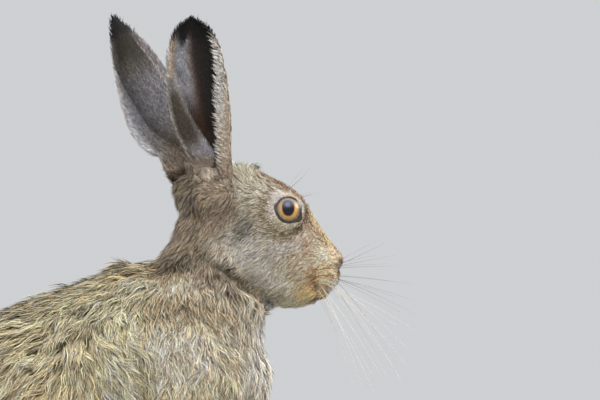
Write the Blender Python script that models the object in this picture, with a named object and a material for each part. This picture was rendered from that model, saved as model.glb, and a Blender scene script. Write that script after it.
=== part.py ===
"""A life-size brown hare, sitting up on its haunches with its ears raised.

Sizes are in millimetres and become metres as each mesh is made. The hare looks along +X, its
left side is +Y and +Z is up. Outlines are measured from the withers, the highest point of the
back, and the whole animal is then shifted so that the origin is under the middle of its box.
"""

import math

import bmesh
import bpy
from mathutils import Matrix, Vector

MM = 0.001
GAP = 0.3                    # clear space between two nodes that meet
WITHERS_TO_ORIGIN = Vector((42.7, 0.0, 0.0))

EYE_RADIUS = 9.8
EYE_AT = Vector((102.0, 17.6, 291.0))
EYE_LOOKS = Vector((0.13, 0.98, 0.12))
OPENING_RADIUS = 7.7         # a ball of this size, ahead of the eye's middle, opens the lids
OPENING_AHEAD = 7.0
LID_RADIUS = 8.9             # middle of the lid's rim
LID_THICKNESS = 1.5
LID_STEPS = 18
LID_SIDES = 6
HEAD_YAW = math.radians(6)   # the head turns this far to the hare's left
HEAD_PIVOT = Matrix.Translation((45.0, 0.0, 0.0))
HEAD_TURN = HEAD_PIVOT @ Matrix.Rotation(HEAD_YAW, 4, "Z") @ HEAD_PIVOT.inverted()

EAR_THICKNESS = 2.4
EAR_CURL = 0.42              # how much tighter the front half of the cup curls
EAR_FOOT = 2.0               # how far up its line an ear begins, with a flat foot
EAR_SEAT = 0.7               # clear space round the foot of an ear
SEAT_FLARE = [(14.0, 0.6), (40.0, 9.0)]   # (height, how much wider the seat is there)
PLUG_HEIGHT = 14.5           # how far up the foot of the cup is filled with skin
FOOT_SINK = 1.2              # the soles are made this much too low, then cut flat at the floor
TOE_STEP = 3.5               # how much shorter the outer toes are
WRIST_HEIGHT = 36.0
ELBOW_HEIGHT = 126.0

# Planes, each a point and the way to what lies beyond it.
UNDER_FLOOR = (Vector((0.0, 0.0, 0.0)), Vector((0.0, 0.0, -1.0)))
NECK_TO_HEAD = (Vector((60.0, 0.0, 266.5)), Vector((0.72, 0.0, 0.69)).normalized())
TORSO_TO_NECK = (Vector((57.0, 0.0, 226.0)), Vector((0.66, 0.0, 0.75)))
TORSO_TO_TAIL = (Vector((-232.0, 0.0, 40.0)), Vector((-0.93, 0.0, -0.36)))

# A foreleg is taken from this box of the body, between two corners.
FORELEG_BOX = ((-5.0, 0.5, -20.0), (130.0, 80.0, ELBOW_HEIGHT))

# About so many triangles are left in each fleshed piece before its fine work.
TRIANGLES = {"head": 3600, "body": 3300, "forepaw": 460, "hindfoot": 520}

# Side outlines, front to back, as (top x, top z, bottom x, bottom z, half width, y).
TRUNK = [
    (66, 226, 86, 186, 16, 0),
    (45, 247, 86, 164, 35, 0),
    (4, 263, 66, 148, 46, 0),
    (-42, 248, 20, 136, 51, 0),
    (-88, 229, -26, 118, 55, 0),
    (-134, 205, -70, 94, 59, 0),
    (-176, 173, -112, 62, 62, 0),
    (-210, 133, -146, 34, 61, 0),
    (-230, 92, -172, 18, 52, 0),
    (-237, 55, -200, 14, 30, 0),
]
NECK = [
    (50, 300, 84, 256, 22, 0),
    (32, 296, 88, 241, 28, 0),
    (26, 277, 92, 226, 32, 0),
    (17, 262, 94.5, 206, 37, 0),
    (0, 256, 95, 184, 41, 0),
    (-24, 236, 91, 162, 40, 0),
    (-30, 215, 72, 148, 30, 0),
]
SKULL = [
    (140.5, 262, 138.5, 250, 4.5, 0),
    (138.5, 265.5, 137, 240, 9.5, 0),
    (134, 270.5, 128, 236, 12.5, 0),
    (128, 278.5, 117, 234, 15, 0),
    (120.5, 290, 106, 234, 18, 0),
    (114.5, 300, 95, 236, 21.5, 0),
    (107, 307, 84, 240, 25, 0),
    (95, 314.5, 73, 245, 27, 0),
    (81, 320.5, 63, 252, 28, 0),
    (65, 321.5, 53, 261, 27, 0),
    (50, 315, 43, 269, 25, 0),
    (38, 306, 37, 279, 18, 0),
    (33, 298, 34, 288, 9, 0),
]
JAW = [
    (127, 240, 124.5, 232.5, 5, 0),
    (124, 244, 117.5, 227.5, 9, 0),
    (115, 248, 107, 226, 12, 0),
    (104, 252, 97, 228.5, 15, 0),
    (92, 256, 84, 234, 18, 0),
    (78, 262, 72, 242, 19, 0),
]
NEAR_EAR_ROOT = [
    (44.5, 312, 67.5, 312, 11.5, 22.3),
    (44, 304, 68, 304, 12, 21.6),
    (43.5, 294, 70, 292, 13, 19.5),
    (44, 280, 71, 276, 13, 16.5),
    (49, 262, 65, 260, 8, 13),
]
FAR_EAR_ROOT = [
    (29.4, 304.7, 51.2, 312.3, 11.5, 22.3),
    (32, 297, 54.4, 305, 12, 21.6),
    (33, 286.5, 57, 293.5, 13, 19.5),
    (36, 276, 60, 280, 13, 16.5),
    (46, 263, 60, 265, 8, 13),
]
SHOULDER = [
    (44, 240, 14, 226, 10, 26),
    (62, 222, 4, 200, 18, 29),
    (74, 196, 2, 176, 21, 30),
    (78, 172, 6, 154, 21, 29.5),
    (74, 148, 14, 138, 18, 28),
    (68, 130, 26, 124, 13, 27),
]
FORELEG = [
    (76, 168, 14, 164, 17, 28.5),
    (73, 142, 18, 138, 17, 28),
    (69, 114, 31, 108, 14.5, 26),
    (67, 84, 40, 80, 12, 24),
    (70, 55, 47, 50, 10.8, 23),
    (75, 36, 52, 28, 11, 22),
    (83, 25, 54, 10, 11.5, 22),
    (91, 18, 60, -FOOT_SINK, 11.5, 22),
    (100, 12, 80, -FOOT_SINK, 11.5, 22),
]
THIGH = [
    (-74, 84, -88, 62, 10, 50),
    (-82, 104, -94, 50, 17, 50),
    (-104, 124, -108, 38, 21, 49),
    (-134, 138, -132, 24, 24, 47),
    (-166, 140, -160, 16, 26, 44),
    (-198, 124, -188, 12, 26, 40),
    (-222, 96, -208, 12, 22, 35),
    (-232, 66, -220, 18, 13, 30),
]
HINDFOOT = [
    (-219, 22, -214, 2, 6, 47),
    (-210, 32, -207, -FOOT_SINK, 10.5, 47.5),
    (-190, 30, -186, -FOOT_SINK, 12, 49),
    (-152, 24, -150, -FOOT_SINK, 12, 51),
    (-118, 20, -118, -FOOT_SINK, 12.5, 53),
    (-92, 17, -92, -FOOT_SINK, 14, 54.5),
    (-80, 14, -80, -FOOT_SINK, 13.5, 55.2),
]
TAIL = [
    (-208, 72, -196, 34, 15, 0),
    (-226, 62, -216, 22, 19, 0),
    (-246, 45, -238, 6, 20, 0),
    (-262, 29, -257, -FOOT_SINK, 17, 0),
    (-272, 15, -270, -FOOT_SINK, 9, 0),
]

# Egg shapes of the left side, as centre, radii and tilt down towards the nose in degrees.
HEAD_MASSES = {
    "cheek": ((79, 12.5, 264), (27, 14.5, 19), 30),
    "jaw_muscle": ((92, 9, 248), (22, 11, 13), 22),
    "orbit": ((100, 11.5, 291), (18, 11.5, 15), 20),
    "brow": ((97, 11, 301), (17, 9, 6.5), 28),
}
MUZZLE_FORMS = {
    "lip_pad": ((128, 7.4, 247.5), (10.5, 7.8, 9.5), 40),
    "nose_wing": ((135.5, 4, 257.5), (5.5, 4.6, 6), 40),
    "lower_lip": ((122.5, 2.5, 234.5), (6, 4.5, 4.5), -30),
}
NOSTRIL = ((140, 3.4, 257.5), (2.6, 1.1, 1.9), 50)
LIP_CLEFT = ((139.5, 0, 246.5), (3.2, 0.7, 8.5), 12)
WHISKER_PAD = ((130, 15, 246), (9, 9, 9), 40)
HAUNCH = ((-153, 68, 78), (90, 34, 84), 16)

# The closed mouth as (x, z) from the chin up to its corner, its reach to each side and width.
MOUTH_LINE = [(132, 229), (127.5, 234.5), (123.5, 240), (121, 243.5)]
MOUTH_REACH = 15.0
MOUTH_WIDTH = 0.9

# A foot's toes: x of the longest tip, y of the middle, reach to each side, length, radius.
FORE_TOES = (106, 22, 9.0, 26, 4.7)
HIND_TOES = (-60, 55.5, 10.5, 34, 5.3)
CLAW = [(-5, 6.6, 1.8), (1, 5.4, 1.4), (5, 2.8, 0.55)]   # (x from its toe's tip, z, radius)

# Along an ear, as (middle x, side y, z, radius of the cup, half angle in degrees).
NEAR_EAR = [
    (56.0, -21.5, 303, 11.0, 168),
    (55.6, -22.5, 313, 11.2, 160),
    (54.4, -24.0, 324, 12.2, 140),
    (52.4, -25.5, 332, 14.0, 120),
    (49.6, -27.5, 344, 16.8, 100),
    (47.0, -29.5, 359, 18.6, 88),
    (45.2, -31.5, 377, 18.8, 80),
    (43.8, -33.0, 394, 17.2, 72),
    (42.4, -34.0, 406, 14.0, 60),
    (42.0, -34.5, 412, 10.0, 48),
    (41.8, -35.0, 416, 4.0, 32),
]
FAR_EAR = [
    (43.5, 21.5, 300, 11.0, 168),
    (38.6, 22.5, 314, 11.0, 162),
    (34.6, 23.5, 324, 11.2, 152),
    (31.0, 24.8, 333, 12.0, 138),
    (22.6, 27.0, 343, 15.6, 112),
    (17.8, 28.6, 350.5, 17.2, 98),
    (12.6, 30.0, 361, 18.4, 86),
    (5.4, 31.5, 377, 17.6, 76),
    (-2.2, 32.5, 394, 14.6, 64),
    (-8.0, 33.0, 407.5, 9.2, 52),
    (-10.6, 33.4, 415, 5.4, 42),
    (-12.2, 33.8, 420, 2.2, 30),
]
NEAR_EAR_OPENS = Vector((-0.05, -1.0, 0.08))
FAR_EAR_OPENS = Vector((0.12, 1.0, 0.05))
NEAR_EAR_LEANS = Vector((0.0, -0.08, 1.0)).normalized()
FAR_EAR_LEANS = Vector((-0.40, 0.09, 0.91)).normalized()

# Whiskers of one side, as (root x, root z), tip (x, y, z) and how far they bow down.
WHISKERS = [
    ((125.5, 240.5), (148, 24, 172), 4),
    ((128.5, 240.0), (156, 34, 168), 5),
    ((127.0, 243.5), (178, 40, 172), 7),
    ((131.5, 242.0), (178, 48, 185), 6),
    ((129.5, 246.5), (180.6, 42, 214), 4),
    ((133.5, 245.5), (181, 52, 232), 2),
    ((131.0, 250.0), (176, 46, 246), 1),
    ((133.5, 251.5), (170, 38, 262), 0),
]
WHISKER_ROOT_RADIUS = 0.52
WHISKER_TIP_RADIUS = 0.36
WHISKER_DEPTH = 1.2          # how far a whisker's root goes into the lip
WHISKER_FLARE = 14.0         # how far the whiskers bow out to the side
WHISKER_STEPS = (0, 0.16, 0.42, 0.7, 1.0)

# Each material's base colour and roughness.
COLOURS = {
    "coat_brown": ((0.44, 0.33, 0.21), 0.85),
    "coat_grey": ((0.42, 0.36, 0.28), 0.85),
    "coat_rufous": ((0.50, 0.34, 0.20), 0.85),
    "coat_white": ((0.74, 0.70, 0.63), 0.85),
    "ear_grey": ((0.30, 0.26, 0.23), 0.8),
    "eye_amber": ((0.48, 0.28, 0.08), 0.08),
    "lip_cream": ((0.72, 0.63, 0.50), 0.7),
}


def through(rows, steps):
    """Rows on a smooth curve through the given rows, with so many steps between two."""
    ends = [rows[0], *rows, rows[-1]]
    made = []
    for before, here, after, beyond in zip(ends, ends[1:], ends[2:], ends[3:]):
        for i in range(steps):
            t = i / steps
            made.append([
                0.5 * (2 * q + (r - p) * t + (2 * p - 5 * q + 4 * r - s) * t**2
                       + (3 * q - p - 3 * r + s) * t**3)
                for p, q, r, s in zip(before, here, after, beyond)
            ])
    return [*made, list(rows[-1])]


def link(mesh, name):
    obj = bpy.data.objects.new(name, mesh)
    bpy.context.scene.collection.objects.link(obj)
    return obj


def linked_from(bm, name):
    mesh = bpy.data.meshes.new(name)
    bm.to_mesh(mesh)
    bm.free()
    return link(mesh, name)


def skin_rings(bm, rings, around=False):
    """Faces between rings of points in millimetres, and from the last to the first if around."""
    loops = [[bm.verts.new(Vector(p) * MM) for p in ring] for ring in rings]
    count = len(loops[0])
    following = [*loops[1:], loops[0]] if around else loops[1:]
    for lower, upper in zip(loops, following):
        for i in range(count):
            j = (i + 1) % count
            bm.faces.new((lower[i], lower[j], upper[j], upper[i]))
    return loops


def shell_from_rings(name, rings):
    """A closed mesh through rings of points, with its two ends capped."""
    bm = bmesh.new()
    loops = skin_rings(bm, rings)
    bm.faces.new(loops[0][::-1])
    bm.faces.new(loops[-1])
    bmesh.ops.recalc_face_normals(bm, faces=bm.faces)
    return linked_from(bm, name)


def loft(name, outline, side=1, steps=4, sides=24, narrow_top=0.0, wider=0.0):
    """A limb or trunk through its side outline, narrower towards the top by narrow_top."""
    rings = []
    for top_x, top_z, low_x, low_z, half_width, y in through(outline, steps):
        middle = Vector(((top_x + low_x) / 2, side * y, (top_z + low_z) / 2))
        up = Vector(((top_x - low_x) / 2, 0, (top_z - low_z) / 2))
        up *= 1 + wider / up.length
        ring = []
        for i in range(sides):
            turn = 2 * math.pi * i / sides
            width = (half_width + wider) * (1 - narrow_top * math.cos(turn))
            ring.append(middle + up * math.cos(turn) + Vector((0, width * math.sin(turn), 0)))
        rings.append(ring)
    return shell_from_rings(name, rings)


def mirrored(vector, side):
    return Vector((vector[0], side * vector[1], vector[2]))


def ellipsoid(name, form, side=1, grow=0.0, segments=24):
    """An egg shape on one side, from its centre, its radii and its tilt down towards the nose."""
    centre, radii, tilt = form
    bm = bmesh.new()
    bmesh.ops.create_uvsphere(bm, u_segments=segments, v_segments=segments // 2, radius=1)
    size = Matrix.Diagonal((*(radius + grow for radius in radii), 1))
    shape = Matrix.Rotation(math.radians(tilt), 4, "Y") @ size
    bm.transform(Matrix.Scale(MM, 4) @ Matrix.Translation(mirrored(centre, side)) @ shape)
    return linked_from(bm, name)


def circle_about(middle, axis, radius, sides, start=None):
    """Points on a circle round an axis, the first of them towards start."""
    axis = axis.normalized()
    start = start or axis.orthogonal()
    across = (start - axis * start.dot(axis)).normalized()
    level = axis.cross(across)
    turns = [2 * math.pi * k / sides for k in range(sides)]
    return [middle + radius * (across * math.cos(a) + level * math.sin(a)) for a in turns]


def tapered(name, points, radii, sides=6):
    """A thin round horn along a line of points, as a claw or a whisker."""
    rings = []
    start = None
    for i, (point, radius) in enumerate(zip(points, radii)):
        ahead = points[min(i + 1, len(points) - 1)] - points[max(i - 1, 0)]
        rings.append(circle_about(point, ahead, radius, sides, start))
        start = rings[-1][0] - point
    return shell_from_rings(name, rings)


def block(name, low, high):
    """A box between two corners."""
    bm = bmesh.new()
    bmesh.ops.create_cube(bm, size=1)
    size = Matrix.Diagonal((*(abs(b - a) for a, b in zip(low, high)), 1))
    bm.transform(Matrix.Scale(MM, 4) @ Matrix.Translation((low + high) / 2) @ size)
    return linked_from(bm, name)


def box_beyond(name, point, normal, reach=260.0, width=None):
    """A box that fills one side of a plane, out to its reach and half as wide each way."""
    width = width or reach
    turn = normal.to_track_quat("Z", "Y").to_matrix().to_4x4()
    bm = bmesh.new()
    bmesh.ops.create_cube(bm, size=1)
    size = Matrix.Diagonal((width, width, reach, 1))
    place = Matrix.Translation(point) @ turn @ Matrix.Translation((0, 0, reach / 2)) @ size
    bm.transform(Matrix.Scale(MM, 4) @ place)
    return linked_from(bm, name)


def apply_modifiers(obj):
    graph = bpy.context.evaluated_depsgraph_get()
    graph.update()
    mesh = bpy.data.meshes.new_from_object(obj.evaluated_get(graph))
    obj.modifiers.clear()
    obj.data = mesh


def remove(*objects):
    for obj in objects:
        bpy.data.objects.remove(obj)


def copy_of(obj, name):
    return link(obj.data.copy(), name)


def joined(name, pieces):
    """The pieces as one mesh, still overlapping."""
    bm = bmesh.new()
    for piece in pieces:
        bm.from_mesh(piece.data)
    remove(*pieces)
    return linked_from(bm, name)


def fleshed(name, pieces, voxel, smoothing):
    """The pieces grown together into one skin, with their creases filled by smoothing."""
    body = joined(name, pieces)
    remesh = body.modifiers.new("skin", "REMESH")
    remesh.mode = "VOXEL"
    remesh.voxel_size = voxel * MM
    smooth = body.modifiers.new("soften", "SMOOTH")
    smooth.factor = 0.5
    smooth.iterations = smoothing
    apply_modifiers(body)
    return body


def thinned(obj, triangles):
    """Leaves about so many triangles, closest where the surface curves most."""
    now = sum(len(face.vertices) - 2 for face in obj.data.polygons)
    decimate = obj.modifiers.new("thin", "DECIMATE")
    decimate.ratio = min(1.0, triangles / now)
    apply_modifiers(obj)


def largest_only(obj):
    """Keeps the largest closed surface of a mesh."""
    bm = bmesh.new()
    bm.from_mesh(obj.data)
    bmesh.ops.triangulate(bm, faces=bm.faces)
    seen = set()
    groups = []
    for start in bm.verts:
        if start in seen:
            continue
        group = [start]
        seen.add(start)
        for vert in group:
            for edge in vert.link_edges:
                other = edge.other_vert(vert)
                if other not in seen:
                    seen.add(other)
                    group.append(other)
        groups.append(group)
    groups.sort(key=len)
    bmesh.ops.delete(bm, geom=[v for g in groups[:-1] for v in g], context="VERTS")
    bm.to_mesh(obj.data)
    bm.free()


def combine(obj, other, how):
    """One Boolean with another closed mesh, which is then removed."""
    boolean = obj.modifiers.new(how.lower(), "BOOLEAN")
    boolean.operation = how
    boolean.object = other
    boolean.solver = "EXACT"
    apply_modifiers(obj)
    remove(other)
    largest_only(obj)


def fuse(obj, pieces):
    """The pieces joined to a closed mesh, by one Boolean on a collection that is then removed."""
    group = bpy.data.collections.new("fused")
    for piece in pieces:
        group.objects.link(piece)
    boolean = obj.modifiers.new("fuse", "BOOLEAN")
    boolean.operation = "UNION"
    boolean.operand_type = "COLLECTION"
    boolean.collection = group
    apply_modifiers(obj)
    remove(*pieces)
    bpy.data.collections.remove(group)
    largest_only(obj)


def cut_at(obj, point, normal, **size):
    """Removes what lies beyond a plane."""
    combine(obj, box_beyond("cutter", point, normal, **size), "DIFFERENCE")


def parted(body, name, point, normal, **size):
    """Takes what lies beyond a plane off the body as a new node, leaving the gap between."""
    normal = normal.normalized()
    piece = copy_of(body, name)
    combine(piece, box_beyond("far", point + normal * GAP / 2, normal, **size), "INTERSECT")
    combine(body, box_beyond("near", point - normal * GAP / 2, normal, **size), "DIFFERENCE")
    return piece


def taken_out(body, name, make_region):
    """Takes a region off the body as a node. make_region(grow) gives it, so much larger."""
    piece = copy_of(body, name)
    combine(piece, make_region(0.0), "INTERSECT")
    combine(body, make_region(GAP), "DIFFERENCE")
    return piece


def both_sides(make):
    return [piece for side in (1, -1) for piece in make(side)]


def turn_head(*objects):
    """Turns pieces of the head about the upright line through the top of the neck."""
    for obj in objects:
        obj.data.transform(Matrix.Scale(MM, 4) @ HEAD_TURN @ Matrix.Scale(1 / MM, 4))
    return objects


def head_forms():
    """The masses of the head before its fine work, with the mound that carries each ear."""
    def eggs(forms):
        return both_sides(lambda side: [ellipsoid(n, form, side) for n, form in forms.items()])

    masses = [loft("skull", SKULL, narrow_top=0.10), loft("jaw", JAW), *eggs(HEAD_MASSES)]
    skull = fleshed("skull", masses, voxel=2.0, smoothing=22)
    pieces = turn_head(skull, *eggs(MUZZLE_FORMS))
    return [*pieces, loft("near_root", NEAR_EAR_ROOT, -1), loft("far_root", FAR_EAR_ROOT)]


def body_forms():
    """The masses of the trunk and the limbs."""
    def one_side(side):
        return [
            loft("shoulder", SHOULDER, side),
            loft("foreleg", FORELEG, side, sides=16),
            loft("thigh", THIGH, side),
        ]
    return [loft("trunk", TRUNK), loft("neck", NECK), loft("tail", TAIL), *both_sides(one_side)]


def lid_rim(side):
    """The thick edge of both lids, a ring that lies on the front of the eyeball."""
    forward = math.sqrt(EYE_RADIUS**2 - LID_RADIUS**2)
    turn = mirrored(EYE_LOOKS, side).to_track_quat("Z", "Y")
    rings = []
    for i in range(LID_STEPS):
        round_eye = 2 * math.pi * i / LID_STEPS
        out = Vector((math.cos(round_eye), math.sin(round_eye), 0))
        ahead = Vector((0, 0, 1))
        rings.append([
            mirrored(EYE_AT, side) + turn @ (
                ahead * forward + out * LID_RADIUS
                + LID_THICKNESS * (out * math.cos(a) + ahead * math.sin(a)))
            for a in (2 * math.pi * k / LID_SIDES for k in range(LID_SIDES))
        ])
    bm = bmesh.new()
    skin_rings(bm, rings, around=True)
    bmesh.ops.recalc_face_normals(bm, faces=bm.faces)
    return linked_from(bm, "lid_rim")


def ball_at_eye(name, side, radius, ahead=0.0):
    middle = EYE_AT + EYE_LOOKS.normalized() * ahead
    return ellipsoid(name, (middle, (radius, radius, radius), 0), side, segments=18)


def make_eye(name, side):
    eye = ball_at_eye(name, side, EYE_RADIUS)
    turn_head(eye)
    return eye


def mouth_slot():
    """The line of the closed mouth: a thin slot from side to side behind the upper lip."""
    across = Vector((0, MOUTH_REACH, 0))
    (chin_x, chin_z), (corner_x, corner_z) = MOUTH_LINE[0], MOUTH_LINE[-1]
    slant = Vector((corner_z - chin_z, 0, chin_x - corner_x)).normalized() * MOUTH_WIDTH / 2
    rings = []
    for x, z in MOUTH_LINE:
        middle = Vector((x, 0, z))
        rings.append([
            middle + slant + across, middle + slant - across,
            middle - slant - across, middle - slant + across,
        ])
    return shell_from_rings("mouth_slot", rings)


def make_head():
    head = fleshed("head", [*head_forms(), loft("neck", NECK)], voxel=1.5, smoothing=9)
    thinned(head, TRIANGLES["head"])
    fuse(head, turn_head(lid_rim(1), lid_rim(-1)))

    def one_side(side):
        return [
            ball_at_eye("socket", side, EYE_RADIUS + GAP),
            ball_at_eye("opening", side, OPENING_RADIUS, OPENING_AHEAD),
            ellipsoid("nostril", NOSTRIL, side, segments=12),
        ]
    cleft = ellipsoid("lip_cleft", LIP_CLEFT, segments=12)
    for cutter in turn_head(*both_sides(one_side), cleft, mouth_slot()):
        combine(head, cutter, "DIFFERENCE")
    return head


def ear_section(radius, angle, thickness, steps):
    """One section across an ear as (sideways, into the opening) points round its skin."""
    curl = EAR_CURL * (1 - (angle / math.pi) ** 2)
    parts = 20

    def heading(v):
        return angle * (v + curl * v * v / 2)

    def walk(way):
        here = Vector((0, 0))
        points = []
        for i in range(parts * steps):
            a = heading(way * (i + 0.5) / (parts * steps))
            here = here + way * Vector((math.cos(a), math.sin(a))) * radius * angle / (parts * steps)
            if (i + 1) % parts == 0:
                points.append(here)
        return points

    line = [*walk(-1)[::-1], Vector((0, 0)), *walk(1)]
    turns = [heading(i / steps) for i in range(-steps, steps + 1)]
    left, right = min(p.x for p in line), max(p.x for p in line)
    middle = Vector(((left + right) / 2, max(p.y for p in line) / 2))
    line = [p - middle for p in line]
    half = thickness / 2
    inward = [Vector((-math.sin(a), math.cos(a))) * half for a in turns]
    first = line[0] - Vector((math.cos(turns[0]), math.sin(turns[0]))) * half
    last = line[-1] + Vector((math.cos(turns[-1]), math.sin(turns[-1]))) * half
    outer = [p - n for p, n in zip(line, inward)]
    inner = [p + n for p, n in zip(line, inward)]
    return [*outer, last, *inner[::-1], first]


def ear_shell(name, rows, opens, side):
    """The thin cup of an ear, from just below its plug to its tip."""
    rows = through(rows, 2)
    rings = []
    for i, (x, y, z, radius, degrees) in enumerate(rows):
        ahead = Vector(rows[min(i + 1, len(rows) - 1)][:3]) - Vector(rows[max(i - 1, 0)][:3])
        ahead.normalize()
        opening = (opens - ahead * opens.dot(ahead)).normalized()
        forward = ahead.cross(opening) * -side
        thickness = EAR_THICKNESS * min(1.0, 0.45 + radius / 20)
        rings.append([
            Vector((x, y, z)) + forward * s + opening * o
            for s, o in ear_section(radius, math.radians(degrees), thickness, 6)
        ])
    return shell_from_rings(name, rings)


def column(name, foot, leans, sizes):
    """A round column along an ear's own way up, as (height, radius) pairs."""
    return shell_from_rings(name, [
        circle_about(foot + leans * height, leans, radius, 28) for height, radius in sizes
    ])


def make_ear(name, rows, opens, side, leans):
    """An ear: its cup, and the plug of skin that fills the foot of the cup."""
    ear = ear_shell(name, rows, opens, side)
    foot, radius = Vector(rows[0][:3]), rows[0][3]
    fuse(ear, [column("plug", foot, leans, [
        (EAR_FOOT - 5, radius),
        (EAR_FOOT, radius * 1.02),
        (PLUG_HEIGHT - 3, radius),
        (PLUG_HEIGHT, radius * 0.86),
    ])])
    cut_at(ear, foot + leans * EAR_FOOT, -leans, reach=60)
    return ear


def clear_ear_seat(body, rows, leans):
    """Clears the body round the foot of an ear."""
    foot = Vector(rows[0][:3])
    radius = rows[0][3] + EAR_THICKNESS / 2 + EAR_SEAT
    sizes = [(EAR_FOOT - GAP, radius), *((height, radius + more) for height, more in SEAT_FLARE)]
    combine(body, column("seat", foot, leans, sizes), "DIFFERENCE")


def whiskers(pad, side):
    """The whiskers of one side, each rooted a little way under the skin of the lip."""
    made = []
    for (root_x, root_z), tip, sag in WHISKERS:
        outside = HEAD_TURN @ Vector((root_x, side * 60, root_z))
        inward = HEAD_TURN.to_3x3() @ Vector((0, -side, 0))
        skin = pad.ray_cast(outside * MM, inward)[1] / MM
        start, end = skin + inward * WHISKER_DEPTH, HEAD_TURN @ mirrored(tip, side)
        pull = skin.lerp(end, 0.45) - inward * WHISKER_FLARE - Vector((0, 0, 2 * sag))
        points, radii = [], []
        for t in WHISKER_STEPS:
            points.append(start.lerp(pull, t).lerp(pull.lerp(end, t), t))
            radii.append(WHISKER_ROOT_RADIUS + (WHISKER_TIP_RADIUS - WHISKER_ROOT_RADIUS) * t)
        made.append(tapered("whisker", points, radii, sides=4))
    return made


def make_whisker_pad(head, name, side):
    """The part of the upper lip that the whiskers grow from, with its whiskers."""
    def region(grow):
        return turn_head(ellipsoid("pad_region", WHISKER_PAD, side, grow, segments=14))[0]
    pad = taken_out(head, name, region)
    fuse(pad, whiskers(pad, side))
    return pad


def toes(side, tip_x, middle_y, spread, length, radius):
    """Four toes side by side, the middle two the longest."""
    made = []
    for k in range(4):
        off = (k - 1.5) / 1.5
        tip = tip_x - TOE_STEP * off**2
        middle = (tip - length / 2, middle_y + off * spread, radius + 0.4)
        form = (middle, (length / 2, radius, radius + 1.6), 4)
        made.append(ellipsoid("toe", form, side, segments=16))
    return made


def claws(side, tip_x, middle_y, spread, *_):
    """A short curved claw at the tip of each toe."""
    made = []
    for k in range(4):
        off = (k - 1.5) / 1.5
        tip = tip_x - TOE_STEP * off**2
        y = side * (middle_y + off * spread)
        line = [Vector((tip + x, y, z)) for x, z, radius in CLAW]
        made.append(tapered("claw", line, [radius for x, z, radius in CLAW], sides=5))
    return made


def make_paw(name, side, pieces, toe_sizes, triangles):
    """A foot with its toes and claws, cut flat where it stands on the floor."""
    paw = fleshed(name, [*pieces, *toes(side, *toe_sizes)], voxel=1.2, smoothing=4)
    thinned(paw, triangles)
    cut_at(paw, *UNDER_FLOOR, reach=40, width=700)
    fuse(paw, claws(side, *toe_sizes))
    return paw


def make_foreleg(body, name, side):
    """The forearm taken off the body, and the paw below its wrist."""
    def region(grow):
        low, high = (mirrored(corner, side) for corner in FORELEG_BOX)
        return block("leg_region", low, high + Vector((0, 0, grow)))
    foreleg = taken_out(body, "foreleg_" + name, region)
    wrist, down = Vector((FORE_TOES[0] / 2, 0, WRIST_HEIGHT)), Vector((0, 0, -1))
    cut_at(foreleg, wrist - down * GAP, down)
    whole = loft("forepaw", FORELEG[3:], side, sides=16)
    paw = make_paw("forepaw_" + name, side, [whole], FORE_TOES, TRIANGLES["forepaw"])
    cut_at(paw, wrist, -down)
    return foreleg, paw


def make_hindleg(body, name, side):
    """The haunch taken off the body, and the long foot that is bedded under it."""
    whole = loft("foot", HINDFOOT, side, sides=16)
    foot = make_paw("hindfoot_" + name, side, [whole], HIND_TOES, TRIANGLES["hindfoot"])
    bed = loft("foot_bed", HINDFOOT, side, steps=2, sides=14, wider=GAP + 0.4)
    combine(body, bed, "DIFFERENCE")

    def region(grow):
        return ellipsoid("thigh_region", HAUNCH, side, grow, segments=22)
    return taken_out(body, "thigh_" + name, region), foot


def material(name):
    made = bpy.data.materials.get(name)
    if made is None:
        colour, roughness = COLOURS[name]
        made = bpy.data.materials.new(name)
        made.use_nodes = True
        shader = made.node_tree.nodes["Principled BSDF"]
        shader.inputs["Base Color"].default_value = (*colour, 1)
        shader.inputs["Roughness"].default_value = roughness
    return made


def finish(obj, name, colour, hare):
    """Cuts a node level with the floor, hangs it under the whole hare and gives it its colour."""
    if min(vert.co.z for vert in obj.data.vertices) < 0:
        cut_at(obj, *UNDER_FLOOR, reach=40, width=700)
    obj.name = name
    obj.parent = hare
    obj.data.materials.clear()
    obj.data.materials.append(material(colour))
    obj.data.shade_smooth()
    obj.data.set_sharp_from_angle(angle=math.radians(50))


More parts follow.
